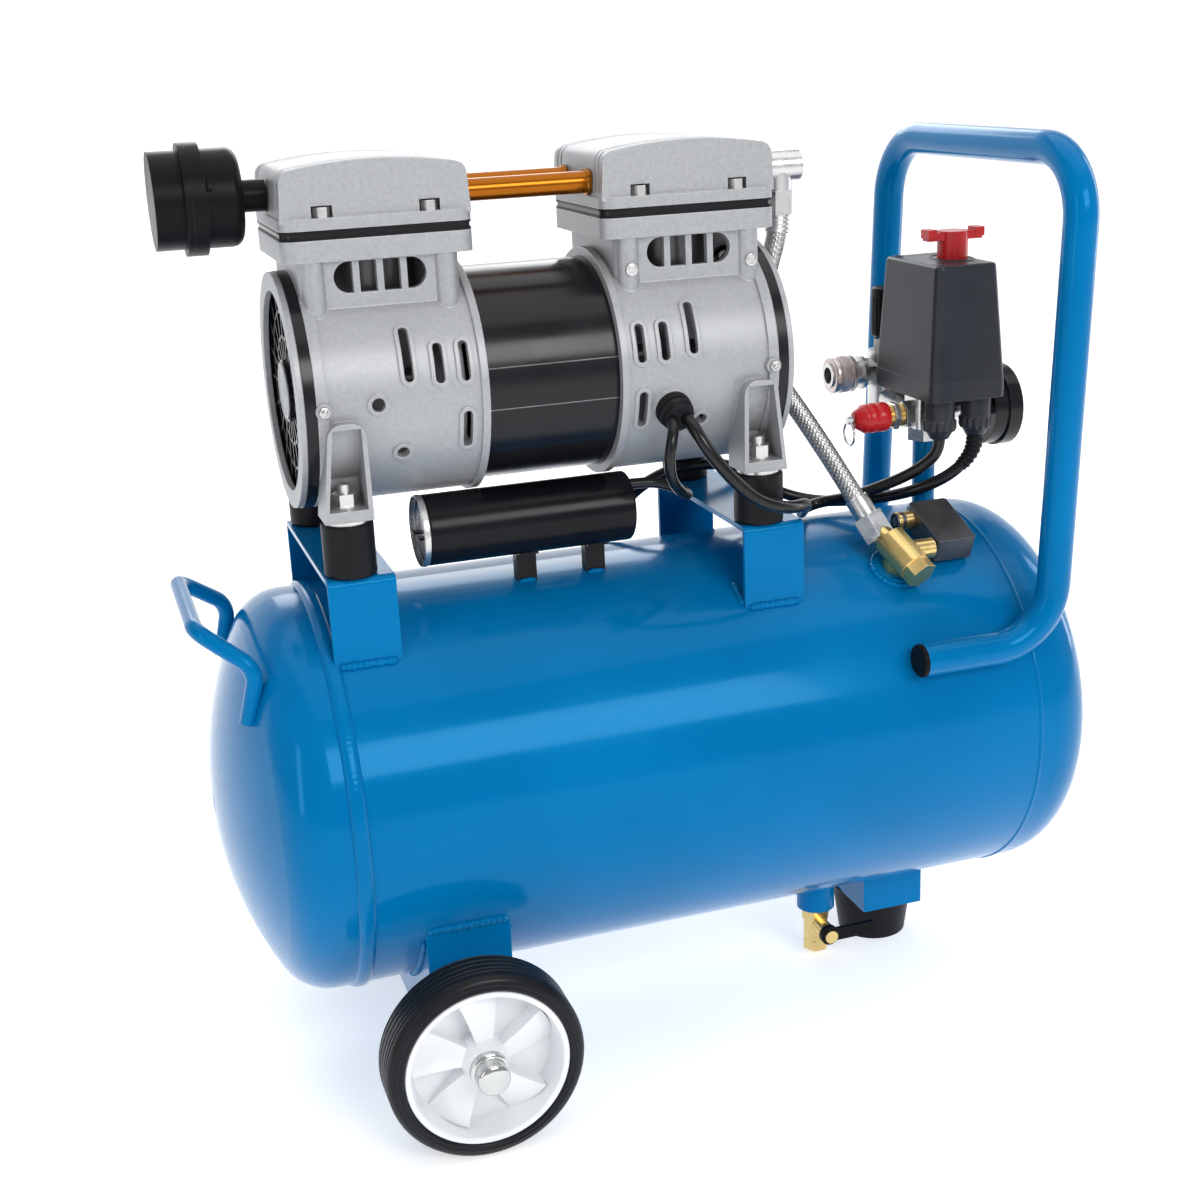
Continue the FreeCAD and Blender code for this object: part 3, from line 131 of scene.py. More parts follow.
def look(name, colour, rough, metallic=0.0, vary=0.08, patch=25.0, grain=900.0, bump=0.2,
         relief=0.05, rough_vary=0.06, coat=0.0, edge_wear_and_highlight=None, edge=0.5, stretch=(1, 1, 1), specular=0.5,
         tint=(1, 1, 1)):
    """A procedural finish: patchy colour, uneven gloss, surface grain, and an edge colour that is wear on
    most finishes and a painted highlight on the blue paint.
    """
    made = bpy.data.materials.new(name)
    made.use_nodes = True
    made.diffuse_color = (*colour, 1)
    nodes, links = made.node_tree.nodes, made.node_tree.links
    shader = nodes["Principled BSDF"]
    shader.inputs["Metallic"].default_value = metallic
    shader.inputs["Specular IOR Level"].default_value = specular
    shader.inputs["Specular Tint"].default_value = (*tint, 1)
    shader.inputs["Coat Weight"].default_value = coat
    shader.inputs["Coat Roughness"].default_value = 0.06
    place = nodes.new("ShaderNodeTexCoord")
    mapping = nodes.new("ShaderNodeMapping")
    mapping.inputs["Scale"].default_value = stretch
    links.new(place.outputs["Object"], mapping.inputs["Vector"])

    def noise(scale, detail):
        node = nodes.new("ShaderNodeTexNoise")
        node.inputs["Scale"].default_value = scale
        node.inputs["Detail"].default_value = detail
        links.new(mapping.outputs["Vector"], node.inputs["Vector"])
        return node.outputs["Fac"]

    patches = noise(patch, 4)
    fine = noise(grain, 2)
    ramp = nodes.new("ShaderNodeValToRGB")
    ramp.color_ramp.elements[0].position = NOISE_LOW
    ramp.color_ramp.elements[1].position = NOISE_HIGH
    ramp.color_ramp.elements[0].color = (*[c * (1 - vary) for c in colour], 1)
    ramp.color_ramp.elements[1].color = (*[min(1, c * (1 + vary)) for c in colour], 1)
    links.new(patches, ramp.inputs["Fac"])
    tone = ramp.outputs["Color"]
    rounded = nodes.new("ShaderNodeBevel")
    rounded.samples = 4
    rounded.inputs["Radius"].default_value = edge * MM
    # edge colour mixed in where the rounded normal leaves the true one: rubbed wear on most finishes, a
    # painted highlight on the blue paint
    if edge_wear_and_highlight:
        surface = nodes.new("ShaderNodeNewGeometry")
        facing = nodes.new("ShaderNodeVectorMath")
        facing.operation = "DOT_PRODUCT"
        links.new(rounded.outputs["Normal"], facing.inputs[0])
        links.new(surface.outputs["Normal"], facing.inputs[1])
        edge_mask = nodes.new("ShaderNodeMapRange")
        edge_mask.inputs["From Min"].default_value = EDGE_TONE_START
        edge_mask.inputs["From Max"].default_value = EDGE_TONE_FULL
        links.new(facing.outputs["Value"], edge_mask.inputs["Value"])
        broken = nodes.new("ShaderNodeMath")
        broken.operation = "MULTIPLY"
        links.new(edge_mask.outputs["Result"], broken.inputs[0])
        links.new(patches, broken.inputs[1])
        mixed = nodes.new("ShaderNodeMix")
        mixed.data_type = "RGBA"
        links.new(broken.outputs["Value"], mixed.inputs["Factor"])
        links.new(tone, mixed.inputs["A"])
        mixed.inputs["B"].default_value = (*edge_wear_and_highlight, 1)
        tone = mixed.outputs["Result"]
    links.new(tone, shader.inputs["Base Color"])
    gloss = nodes.new("ShaderNodeMapRange")
    gloss.inputs["From Min"].default_value = NOISE_LOW
    gloss.inputs["From Max"].default_value = NOISE_HIGH
    gloss.inputs["To Min"].default_value = max(0.02, rough - rough_vary)
    gloss.inputs["To Max"].default_value = min(1, rough + rough_vary)
    links.new(patches, gloss.inputs["Value"])
    links.new(gloss.outputs["Result"], shader.inputs["Roughness"])
    raised = nodes.new("ShaderNodeBump")
    raised.inputs["Strength"].default_value = bump
    raised.inputs["Distance"].default_value = relief * MM
    links.new(fine, raised.inputs["Height"])
    links.new(rounded.outputs["Normal"], raised.inputs["Normal"])
    links.new(raised.outputs["Normal"], shader.inputs["Normal"])
    return made


def glass_look(name):
    made = look(name, (0.95, 0.97, 1.0), 0.05, vary=0.01, bump=0.02)
    shader = made.node_tree.nodes["Principled BSDF"]
    shader.inputs["Transmission Weight"].default_value = 1.0
    shader.inputs["IOR"].default_value = 1.45
    return made


# the blue paint's lighter blue edge colour is a painted highlight along every edge, not worn paint
BLUE = look("blue_paint", (0.0, 0.145, 0.37), 0.15, vary=0.09, patch=9, grain=230, bump=0.35, relief=0.09,
            coat=0.05, edge_wear_and_highlight=(0.0, 0.26, 0.56), edge=0.8, specular=0.35, tint=(0.05, 0.5, 0.9))
CAST = look("cast_aluminium", (0.37, 0.375, 0.385), 0.44, metallic=0.35, vary=0.08, patch=420, grain=1500,
            bump=0.5, relief=0.09, edge_wear_and_highlight=(0.80, 0.81, 0.82), edge=1.0)
GLOSS_BLACK = look("black_paint", (0.007, 0.007, 0.009), 0.2, vary=0.2, patch=18, grain=300, bump=0.2,
                   relief=0.06, edge_wear_and_highlight=(0.05, 0.05, 0.055), specular=0.28)
MATTE_BLACK = look("matte_black", (0.005, 0.005, 0.006), 0.36, vary=0.2, grain=1800, bump=0.3, relief=0.05,
                   edge_wear_and_highlight=(0.05, 0.05, 0.055), specular=0.1)
SWITCH = look("switch_black", (0.024, 0.026, 0.033), 0.34, vary=0.1, patch=40, grain=1700, bump=0.3,
              relief=0.04, edge_wear_and_highlight=(0.14, 0.145, 0.16), edge=0.9, specular=0.25)
RED = look("red_plastic", (0.50, 0.012, 0.014), 0.3, vary=0.1, grain=1100, bump=0.15, coat=0.1,
           edge_wear_and_highlight=(0.75, 0.10, 0.08), specular=0.3)
RUBBER = look("black_rubber", (0.008, 0.008, 0.010), 0.42, vary=0.25, grain=1300, bump=0.4, relief=0.06,
              edge_wear_and_highlight=(0.05, 0.05, 0.05), specular=0.15)
TYRE = look("tyre_rubber", (0.007, 0.008, 0.010), 0.36, vary=0.2, patch=70, grain=1300, bump=0.35,
            relief=0.05, edge_wear_and_highlight=(0.09, 0.09, 0.10), edge=0.3, specular=0.2)
WHITE = look("white_rim", (0.80, 0.81, 0.83), 0.33, vary=0.03, patch=30, grain=700, bump=0.12, specular=0.4,
             edge_wear_and_highlight=(0.9, 0.9, 0.92))
STEEL = look("zinc_steel", (0.62, 0.61, 0.60), 0.28, metallic=0.9, vary=0.1, patch=120, grain=1600, bump=0.25,
             relief=0.03, edge_wear_and_highlight=(0.85, 0.85, 0.84), edge=0.35)
DARK_STEEL = look("dark_steel", (0.12, 0.12, 0.125), 0.33, metallic=0.75, vary=0.15, patch=60, grain=1500,
                  bump=0.2, relief=0.03, edge_wear_and_highlight=(0.4, 0.4, 0.41), edge=0.4)
CHROME = look("chrome", (0.60, 0.60, 0.59), 0.12, metallic=1.0, vary=0.04, patch=80, grain=900, bump=0.05,
              rough_vary=0.04, edge_wear_and_highlight=(0.92, 0.92, 0.92), edge=0.4)
LAMINATION = look("lamination", (0.17, 0.12, 0.10), 0.5, metallic=0.5, vary=0.3, patch=150, grain=900,
                  stretch=(14, 1, 1), bump=0.4, relief=0.1)
GOLD = look("gold_anodised", (0.32, 0.095, 0.003), 0.2, metallic=0.85, vary=0.06, patch=30, grain=1100,
            stretch=(0.15, 1, 1), bump=0.15, relief=0.03, edge_wear_and_highlight=(0.95, 0.62, 0.2))
BRAID = look("steel_braid", (0.50, 0.495, 0.49), 0.3, metallic=0.85, vary=0.18, patch=300, grain=2600,
             bump=0.3, relief=0.04, edge_wear_and_highlight=(0.82, 0.82, 0.81), edge=0.2)
BRASS = look("brass", (0.76, 0.55, 0.22), 0.24, metallic=0.9, vary=0.08, patch=70, grain=1300, bump=0.2,
             relief=0.03, edge_wear_and_highlight=(0.93, 0.80, 0.50), edge=0.4)
COUPLER = look("coupler_metal", (0.60, 0.52, 0.50), 0.34, metallic=0.85, vary=0.08, patch=90, grain=1500,
               bump=0.2, relief=0.03, edge_wear_and_highlight=(0.80, 0.76, 0.74), edge=0.3)
DIAL = look("dial_white", (0.86, 0.86, 0.83), 0.5, vary=0.02, grain=900, bump=0.05)
INK = look("dial_ink", (0.02, 0.02, 0.022), 0.5, vary=0.1, bump=0.05)
CAP_BLACK = look("capacitor_black", (0.005, 0.005, 0.007), 0.2, vary=0.2, patch=12, grain=500, bump=0.12,
                 edge_wear_and_highlight=(0.04, 0.04, 0.045), specular=0.15)
LEAD = look("lead_black", (0.006, 0.006, 0.007), 0.25, vary=0.2, patch=50, grain=1200, bump=0.15, relief=0.04,
            edge_wear_and_highlight=(0.03, 0.03, 0.03), edge=0.2, specular=0.35)
GLASS = glass_look("gauge_glass")
# the gauge has slots of its own, so its case and needle have looks of their own
GAUGE_BLACK = GLOSS_BLACK.copy()
GAUGE_RED = RED.copy()

NODE_LOOKS = {
    BLUE: "tank_barrel tank_domes tank_bosses saddle_brackets axle_bracket foot_bracket frame_handle "
          "carry_handle",
    CAST: "crankcase_left crankcase_right head_covers guard_rings piston_rod_left piston_rod_right",
    GLOSS_BLACK: "motor_barrel fan_guards valve_plates",
    MATTE_BLACK: "intake_filter_body intake_filter_cover handle_end_caps regulator_knob cooling_fans "
                 "drain_lever",
    SWITCH: "switch_base switch_cover",
    RED: "switch_knob",
    RUBBER: "rubber_foot rubber_isolators head_gaskets",
    DARK_STEEL: "unloader_valve shaft_bearings rotor_shaft cylinder_liners",
    STEEL: "isolator_studs head_bolts hose_fittings manifold coupler_body safety_valve_pull",
    CHROME: "axle_bolts",
    LAMINATION: "stator",
    GOLD: "crossover_tubes",
    BRASS: "check_valve drain_valve",
    GAUGE_BLACK: "pressure_gauge",
    GAUGE_RED: "gauge_needle",
    CAP_BLACK: "capacitor capacitor_clamps",
}
for finish, names in NODE_LOOKS.items():
    for node in names.split():
        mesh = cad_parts[node].data
        mesh.materials.clear()
        mesh.materials.append(finish)


# ---- shapes --------------------------------------------------------------------------
class Shape:
    """Points in millimetres and faces, gathered before they become one piece."""

    def __init__(self):
        self.points = []
        self.faces = []

    def add(self, made, at=(0, 0, 0), axis=None):
        """Add a shape, moved to a place and with its Z turned to an axis."""
        points, faces = made
        base = len(self.points)
        place = Matrix.Translation(Vector(at))
        if axis is not None:
            place = place @ Vector(axis).to_track_quat("Z", "Y").to_matrix().to_4x4()
        self.points += [place @ Vector(p) for p in points]
        self.faces += [[base + i for i in face] for face in faces]
        return self

    def piece(self, name, finish, body=BODY, slot=None, stands_for=(), smooth=40):
        mesh = bpy.data.meshes.new(name)
        mesh.from_pydata([p * MM for p in self.points], [], self.faces)
        tidy = bmesh.new()
        tidy.from_mesh(mesh)
        bmesh.ops.remove_doubles(tidy, verts=tidy.verts, dist=1e-6)
        bmesh.ops.recalc_face_normals(tidy, faces=tidy.faces)
        tidy.to_mesh(mesh)
        tidy.free()
        mesh.polygons.foreach_set("use_smooth", [True] * len(mesh.polygons))
        mesh.set_sharp_from_angle(angle=math.radians(smooth))
        mesh.materials.append(finish)
        made = bpy.data.objects.new(name, mesh)
        bpy.context.scene.collection.objects.link(made)
        return settle(made, body, stands_for)


def settle(made, body, stands_for=()):
    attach(made, body)
    if stands_for:
        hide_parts(*stands_for)
    return made


def revolve(profile, steps, lift=None, closed=False):
    """Turn (radius, height) points round Z; lift(row, angle) adds to the radius."""
    points, faces, rows = [], [], []
    for k, (radius, height) in enumerate(profile):
        if radius < 1e-6:
            rows.append([len(points)] * steps)
            points.append((0, 0, height))
            continue
        row = []
        for i in range(steps):
            a = 2 * math.pi * i / steps
            reach = radius + (lift(k, a) if lift else 0)
            row.append(len(points))
            points.append((reach * math.cos(a), reach * math.sin(a), height))
        rows.append(row)
    for low, high in zip(rows, rows[1:] + (rows[:1] if closed else [])):
        for i in range(steps):
            j = (i + 1) % steps
            face = list(dict.fromkeys((low[i], low[j], high[j], high[i])))
            if len(face) > 2:
                faces.append(face)
    return points, faces


def hexagon(across, length, chamfer=0.7):
    """A hex with chamfered ends, from z 0 to length."""
    r = across / math.sqrt(3)
    base = [(0, 0), (r - chamfer, 0), (r, chamfer)]
    return revolve(base + [(r, length - chamfer), (r - chamfer, length), (0, length)], 6)


def round_profile(radius, z0, z1, bevel):
    """Outline of a turned part with its two outer edges rounded."""
    low = [(0, z0), (radius - bevel, z0)]
    high = [(radius - bevel, z1), (0, z1)]
    corner = []
    for i in range(1, 4):
        a = math.radians(90 * i / 4)
        corner.append((radius - bevel + bevel * math.sin(a), bevel - bevel * math.cos(a)))
    rise = [(r, z0 + h) for r, h in corner] + [(radius, z0 + bevel), (radius, z1 - bevel)]
    fall = [(r, z1 - h) for r, h in reversed(corner)]
    return low + rise + fall + high


def bar(lo, hi, bevel):
    """A box between two corners, with its edges bevelled."""
    solid = bmesh.new()
    bmesh.ops.create_cube(solid, size=1)
    for vert in solid.verts:
        vert.co = Vector([lo[i] if vert.co[i] < 0 else hi[i] for i in range(3)])
    bmesh.ops.bevel(solid, geom=list(solid.edges), offset=bevel, segments=2, affect="EDGES", profile=0.5)
    made = ([v.co.copy() for v in solid.verts], [[v.index for v in f.verts] for f in solid.faces])
    solid.free()
    return made


def slab(corners, along):
    """A four-cornered outline made thick along a vector."""
    far = [p + Vector(along) for p in corners]
    sides = [[i, i + 4, (i + 1) % 4 + 4, (i + 1) % 4] for i in range(4)]
    return corners + far, [[0, 1, 2, 3], [4, 7, 6, 5]] + sides


def tube(path, radius, sides, closed=False):
    """Sweep a ring along points; radius is a number or takes (step, angle)."""
    path = [Vector(p) for p in path]
    count = len(path)
    points, faces = [], []
    normal = None
    for k, at in enumerate(path):
        ahead = path[(k + 1) % count] if closed or k + 1 < count else at
        behind = path[k - 1] if closed or k else at
        along = (ahead - behind).normalized()
        if normal is None:
            normal = along.orthogonal().normalized()
        normal = (normal - along * normal.dot(along)).normalized()
        side = along.cross(normal)
        for i in range(sides):
            a = 2 * math.pi * i / sides
            r = radius(k, a) if callable(radius) else radius
            points.append(at + normal * (r * math.cos(a)) + side * (r * math.sin(a)))
    for k in range(count if closed else count - 1):
        n = (k + 1) % count
        for i in range(sides):
            j = (i + 1) % sides
            faces.append([k * sides + i, k * sides + j, n * sides + j, n * sides + i])
    if not closed:
        faces.append(list(range(sides)))
        faces.append([(count - 1) * sides + i for i in range(sides)])
    return points, faces


# ---- leads ---------------------------------------------------------------------------
def nurbs(name, route, radius):
    """A smooth curve with the route's points as its control points."""
    curve = bpy.data.curves.new(name, "CURVE")
    curve.dimensions = "3D"
    curve.resolution_u = 10
    curve.bevel_depth = radius * MM
    curve.bevel_resolution = 4
    curve.use_fill_caps = radius > 0
    spline = curve.splines.new("NURBS")
    spline.points.add(len(route) - 1)
    for point, place in zip(spline.points, route):
        point.co = (*[c * MM for c in place], 1)
    spline.use_endpoint_u = True
    spline.order_u = 3
    return bpy.data.objects.new(name, curve)


def lead(name, route, radius, finish, stands_for=()):
    made = nurbs(name, route, radius)
    made.data.materials.append(finish)
    bpy.context.scene.collection.objects.link(made)
    return settle(made, BODY, stands_for)


def centreline(route):
    """Points of a route's smooth line, in millimetres."""
    line = nurbs("line", route, 0)
    mesh = bpy.data.meshes.new_from_object(line)
    points = [v.co / MM for v in mesh.vertices]
    bpy.data.objects.remove(line)
    bpy.data.meshes.remove(mesh)
    return points


def spaced(points, step):
    """Points a fixed distance apart on a line."""
    found, carried = [points[0].copy()], 0.0
    for a, b in zip(points, points[1:]):
        run = (b - a).length
        while carried + run >= step:
            a = a + (b - a) * ((step - carried) / run)
            found.append(a.copy())
            run = (b - a).length
            carried = 0.0
        carried += run
    return found


MAINS_ROUTE = [
    (218.5, -25, 346), (218.5, -25, 339), (212.5, -24, 328.5), (201, -20.5, 319),
    (186, -12.5, 311), (170, 2, 304.5), (155, 20, 300), (139, 36, 297.5), (120, 44, 302),
    (101, 45.5, 312.5), (81, 42, 327.5), (59, 38.5, 332), (37, 40, 330.5), (19, 48, 320),
    (9, 62, 303), (6, 78.5, 284), (5, 95, 264), (4.2, 110.3, 244.6), (3.6, 122.8, 220.1),
    (3.4, 129.7, 194.7), (3.6, 132.3, 168), (4.2, 132.9, 141), (5, 132.4, 113.5),
    (5.4, 131.8, 86), (5, 131.4, 60), (3, 131.2, 38.5), (-3.5, 130.8, 22.8),
    (-15.5, 129.6, 10.8), (-31.2, 127.6, 4.6), (-45, 126.4, 4.0),
]
MOTOR_ROUTE = [
    (5.2, -69, 389.4), (6, -78.5, 386), (8.5, -85, 378.5), (15, -88.5, 367), (27, -90, 352),
    (42, -89.5, 338.5), (62, -85.5, 331), (80, -70.5, 328), (89, -50, 321.5),
    (98, -28, 312.5), (107, -6, 304), (114, 10, 300), (120.5, 19.5, 299), (129, 23, 300),
    (137, 19.5, 302), (142.5, 11.5, 304.5), (150, 2, 308.5), (161, -5, 313.5),
    (175, -12, 320), (186, -19, 328), (193, -25, 338), (193, -25, 346),
]
CAPACITOR_ROUTE = [
    (-2.6, -69, 389.4), (-4, -78, 386), (-8, -84, 377.5), (-10, -84, 365), (-5.5, -77, 352.5),
    (4, -67, 343), (12, -57, 338.5), (11, -47, 339.5), (3, -41.5, 343), (-7, -38, 344.5),
    (-18, -38, 344.5),
]
COIL_CENTRE = (-50.0, 171.0)
COIL_MID_R = 41.0
COIL_LOW_Z = 3.85
COIL_TURNS = 5.5
# ring (1 outer, -1 inner) and layer of each turn, in the order it was wound
COIL_PLACES = ((1, 0), (-1, 0), (-1, 1), (-1, 2), (1, 2), (1, 1))
COIL_SHIFT_EVERY = 324.0
COIL_SHIFT_SPAN = 36.0
PLUG_AT = (-26.0, 215.75, 12.0)
INTO_PLUG = [(-38.0, 215.75, 11.7), (-24.0, 215.75, 12.0)]
CAPACITOR_LEAD_R = 3.2
HOSE_ROUTE = [
    (95, 0, 489), (95, 0, 477), (88, 1, 456), (85, 3, 428), (86, 4, 400),
    (101, 1, 379), (119, -22, 342), (133.6, -43.4, 307.4),
]
HOSE_R = 5.75
HOSE_STEP = 0.55
STRANDS = 12


def coil_route():
    """The put-away turns: each place is held for a turn, then the lead shifts to the next."""
    points = []
    step = 18
    for degrees in range(step, int(COIL_TURNS * 360) + 1, step):
        turn = min(int(degrees // COIL_SHIFT_EVERY), len(COIL_PLACES) - 1)
        share = 1.0
        if turn:
            share = min(1.0, (degrees - turn * COIL_SHIFT_EVERY) / COIL_SHIFT_SPAN)
        before = COIL_PLACES[max(0, turn - 1)]
        after = COIL_PLACES[turn]
        ring = before[0] + (after[0] - before[0]) * share
        layer = before[1] + (after[1] - before[1]) * share
        radius = COIL_MID_R + ring * LEAD_R
        # a NURBS line runs inside its control points, so they stand a little wider
        radius /= math.cos(math.radians(step / 2)) ** 2
        a = math.radians(-90 - degrees)
        points.append((COIL_CENTRE[0] + radius * math.cos(a), COIL_CENTRE[1] + radius * math.sin(a),
                       COIL_LOW_Z + layer * 2 * LEAD_R))
    return points


def relief(path, start_r, end_r, ribs):
    """A ribbed, tapering sleeve along part of a lead."""
    count = len(path) - 1

    def size(k, _):
        taper = start_r + (end_r - start_r) * k / count
        return taper + 0.35 * math.cos(2 * math.pi * ribs * k / count)

    return tube(path, size, 24)


PLUG_SIDES = 32
PLUG_ROUNDNESS = 0.45
# distance along the plug, half width and half height
PLUG_ROWS = ((24, 9, 8), (27, 13, 10.2), (34, 15, 11), (44, 13.6, 10), (52, 15, 11), (58, 15, 11))


def plug_section(x, half_y, half_z):
    """One ring of the plug's body, a rectangle with rounded corners."""
    px, py, pz = PLUG_AT
    ring = []
    for i in range(PLUG_SIDES):
        a = 2 * math.pi * i / PLUG_SIDES
        c, s = math.cos(a), math.sin(a)
        ring.append((px + x, py + half_y * math.copysign(abs(c) ** PLUG_ROUNDNESS, c),
                     pz + half_z * math.copysign(abs(s) ** PLUG_ROUNDNESS, s)))
    return ring


def plug_pieces():
    """The plug's body with its sleeve, and its two pins."""
    px, py, pz = PLUG_AT
    body = Shape().add(relief([(px + 0.5 * k, py, pz) for k in range(54)], 4.7, 6.9, 9))
    last = len(PLUG_ROWS) - 1
    points = [p for row in PLUG_ROWS for p in plug_section(*row)]
    faces = []
    for k in range(last):
        for i in range(PLUG_SIDES):
            here, after = k * PLUG_SIDES, (i + 1) % PLUG_SIDES
            faces.append([here + i, here + after, here + PLUG_SIDES + after, here + PLUG_SIDES + i])
    faces += [list(range(PLUG_SIDES)), [last * PLUG_SIDES + i for i in range(PLUG_SIDES)]]
    body.add((points, faces))
    pins = Shape()
    for side in SIDES:
        pins.add(revolve(round_profile(2.4, 0, 20.5, 0.8), 24), (px + 56.4, py + side * 9.5, pz), ALONG_X)
    return (body.piece("mains_plug_body", LEAD, slot="lead_black", stands_for=("mains_plug",)),
            pins.piece("mains_plug_pins", CHROME, slot="chrome"))


mains_points = MAINS_ROUTE + coil_route() + INTO_PLUG
mains_lead = lead("mains_flex", mains_points, LEAD_R, LEAD, ("mains_lead", "mains_coil"))
lead("motor_flex", MOTOR_ROUTE, LEAD_R, LEAD, ("held_leads",))
lead("capacitor_flex", CAPACITOR_ROUTE, CAPACITOR_LEAD_R, LEAD)
gland_sleeve = Shape().add(relief(spaced(centreline(MAINS_ROUTE), 0.5)[:46], 5.6, 4.2, 7)).piece(
    "mains_strain_relief", RUBBER, slot="black_rubber")
plug, pins = plug_pieces()


# ---- floor and light, in metres ------------------------------------------------------
FLOOR_REACH = 9
SWEEP_Y = 2.2
SWEEP_R = 1.2
SWEEP_TOP = 3.5
LIT_POINT = (0, 0, 0.28)
FLOOR_GLOW = 0.5
WORLD_LIGHT = 0.45
# name, place, width, height and power in watts
LAMPS = (
    ("top", (0.2, 0.1, 2.5), 3.0, 2.4, 25),
    ("key", (0.5, -2.3, 1.6), 1.3, 0.9, 29),
    ("side", (2.0, 0.3, 0.9), 0.3, 1.6, 7),
    ("left", (-2.0, -1.3, 0.9), 0.3, 1.4, 6),
    ("back", (0.3, 1.9, 1.3), 1.4, 0.7, 9),
)


def sweep_floor():
    """A white floor that rises in a curve behind the object."""
    rows = [(-FLOOR_REACH, 0.0), (SWEEP_Y, 0.0)]
    for i in range(1, 16):
        a = math.radians(6 * i)
        rows.append((SWEEP_Y + SWEEP_R * math.sin(a), SWEEP_R - SWEEP_R * math.cos(a)))
    rows.append((SWEEP_Y + SWEEP_R, SWEEP_TOP))
    points = [(x, y, z) for y, z in rows for x in (-FLOOR_REACH, FLOOR_REACH)]
    faces = [[2 * i, 2 * i + 1, 2 * i + 3, 2 * i + 2] for i in range(len(rows) - 1)]
    floor_mesh = bpy.data.meshes.new("floor")
    floor_mesh.from_pydata(points, [], faces)
    floor_mesh.polygons.foreach_set("use_smooth", [True] * len(faces))
    floor_look = look("floor", (0.88, 0.88, 0.88), 0.6, vary=0.01, patch=1, bump=0.02, specular=0.1)
    glow = floor_look.node_tree.nodes["Principled BSDF"]
    glow.inputs["Emission Color"].default_value = (0.97, 0.985, 1.0, 1)
    glow.inputs["Emission Strength"].default_value = FLOOR_GLOW
    floor_mesh.materials.append(floor_look)
    floor = bpy.data.objects.new("floor", floor_mesh)
    bpy.context.scene.collection.objects.link(floor)


def pale_world():
    world = bpy.data.worlds.new("studio")
    world.use_nodes = True
    backdrop = world.node_tree.nodes["Background"]
    backdrop.inputs["Color"].default_value = (0.94, 0.97, 1.0, 1)
    backdrop.inputs["Strength"].default_value = WORLD_LIGHT
    bpy.context.scene.world = world


def soft_lamps():
    for name, at, width, height, power in LAMPS:
        lamp = bpy.data.lights.new(name, "AREA")
        lamp.shape = "RECTANGLE"
        lamp.size = width
        lamp.size_y = height
        lamp.energy = power
        held = bpy.data.objects.new(name, lamp)
        held.location = at
        held.rotation_euler = (Vector(LIT_POINT) - Vector(at)).to_track_quat("-Z", "Y").to_euler()
        bpy.context.scene.collection.objects.link(held)


sweep_floor()
pale_world()
soft_lamps()
bpy.context.scene.view_settings.view_transform = "Standard"


# ---- tank welds ----------------------------------------------------------------------
def on_tank(x, degrees, height=0.0):
    """A point at an angle from the top of the tank, positive towards the back."""
    a = math.radians(degrees)
    reach = TANK_R + height
    return Vector((x, reach * math.sin(a), TANK_Z + reach * math.cos(a)))


def seam_band(x, half_width, height, ripples):
    """A raised weld round the tank; its surface ripples when a count is given."""
    rows = 9
    profile = []
    for i in range(rows):
        t = -1 + 2 * i / (rows - 1)
        profile.append((TANK_R - 0.15 + height * math.sqrt(max(0, 1 - t * t)), x + half_width * t))
    profile = [(TANK_R - 1.5, x - half_width)] + profile + [(TANK_R - 1.5, x + half_width)]

    def ripple(k, a):
        t = min(1, abs((k - 1) / (rows - 1) * 2 - 1))
        if k in (0, rows + 1):
            return 0
        return 0.05 * (1 - t) * math.sin(ripples * a + 2.2 * t * t) + 0.16 * (1 - t) * math.sin(7 * a)

    return revolve(profile, 1080 if ripples else 240, ripple if ripples else None, True)


def tank_seams():
    for name, seam in (("left", (SEAM_LEFT, 5.0, 2.3, 230)), ("right", (SEAM_RIGHT, 1.5, 0.9, 0))):
        band = Shape().add(seam_band(*seam), (0, 0, TANK_Z), ALONG_X)
        band.piece("tank_seam_" + name, BLUE, slot="blue_paint")


def bead(path, radius, closed=False):
    """A weld bead: overlapping lumps along a line."""
    path = spaced([Vector(p) for p in path], BEAD_STEP)
    count = len(path)
    phase = random.uniform(0, 6)
    drift = [random.uniform(-0.12, 0.12) for _ in range(count // 5 + 3)]

    def size(k, _):
        end = 1.0 if closed else min(1.0, 0.35 + 0.2 * min(k, count - 1 - k))
        return radius * end * (1 + 0.14 * math.sin(BEAD_LUMPS * k * BEAD_STEP + phase) + drift[k // 5])

    return tube(path, size, 10, closed)


def foot_circle(x, degrees, radius, height=0.4):
    """A ring on the tank's surface, round something welded to it."""
    found = []
    for i in range(49):
        a = 2 * math.pi * i / 48
        across = math.degrees(radius * math.sin(a) / TANK_R)
        found.append(on_tank(x + radius * math.cos(a), degrees + across, height))
    return found


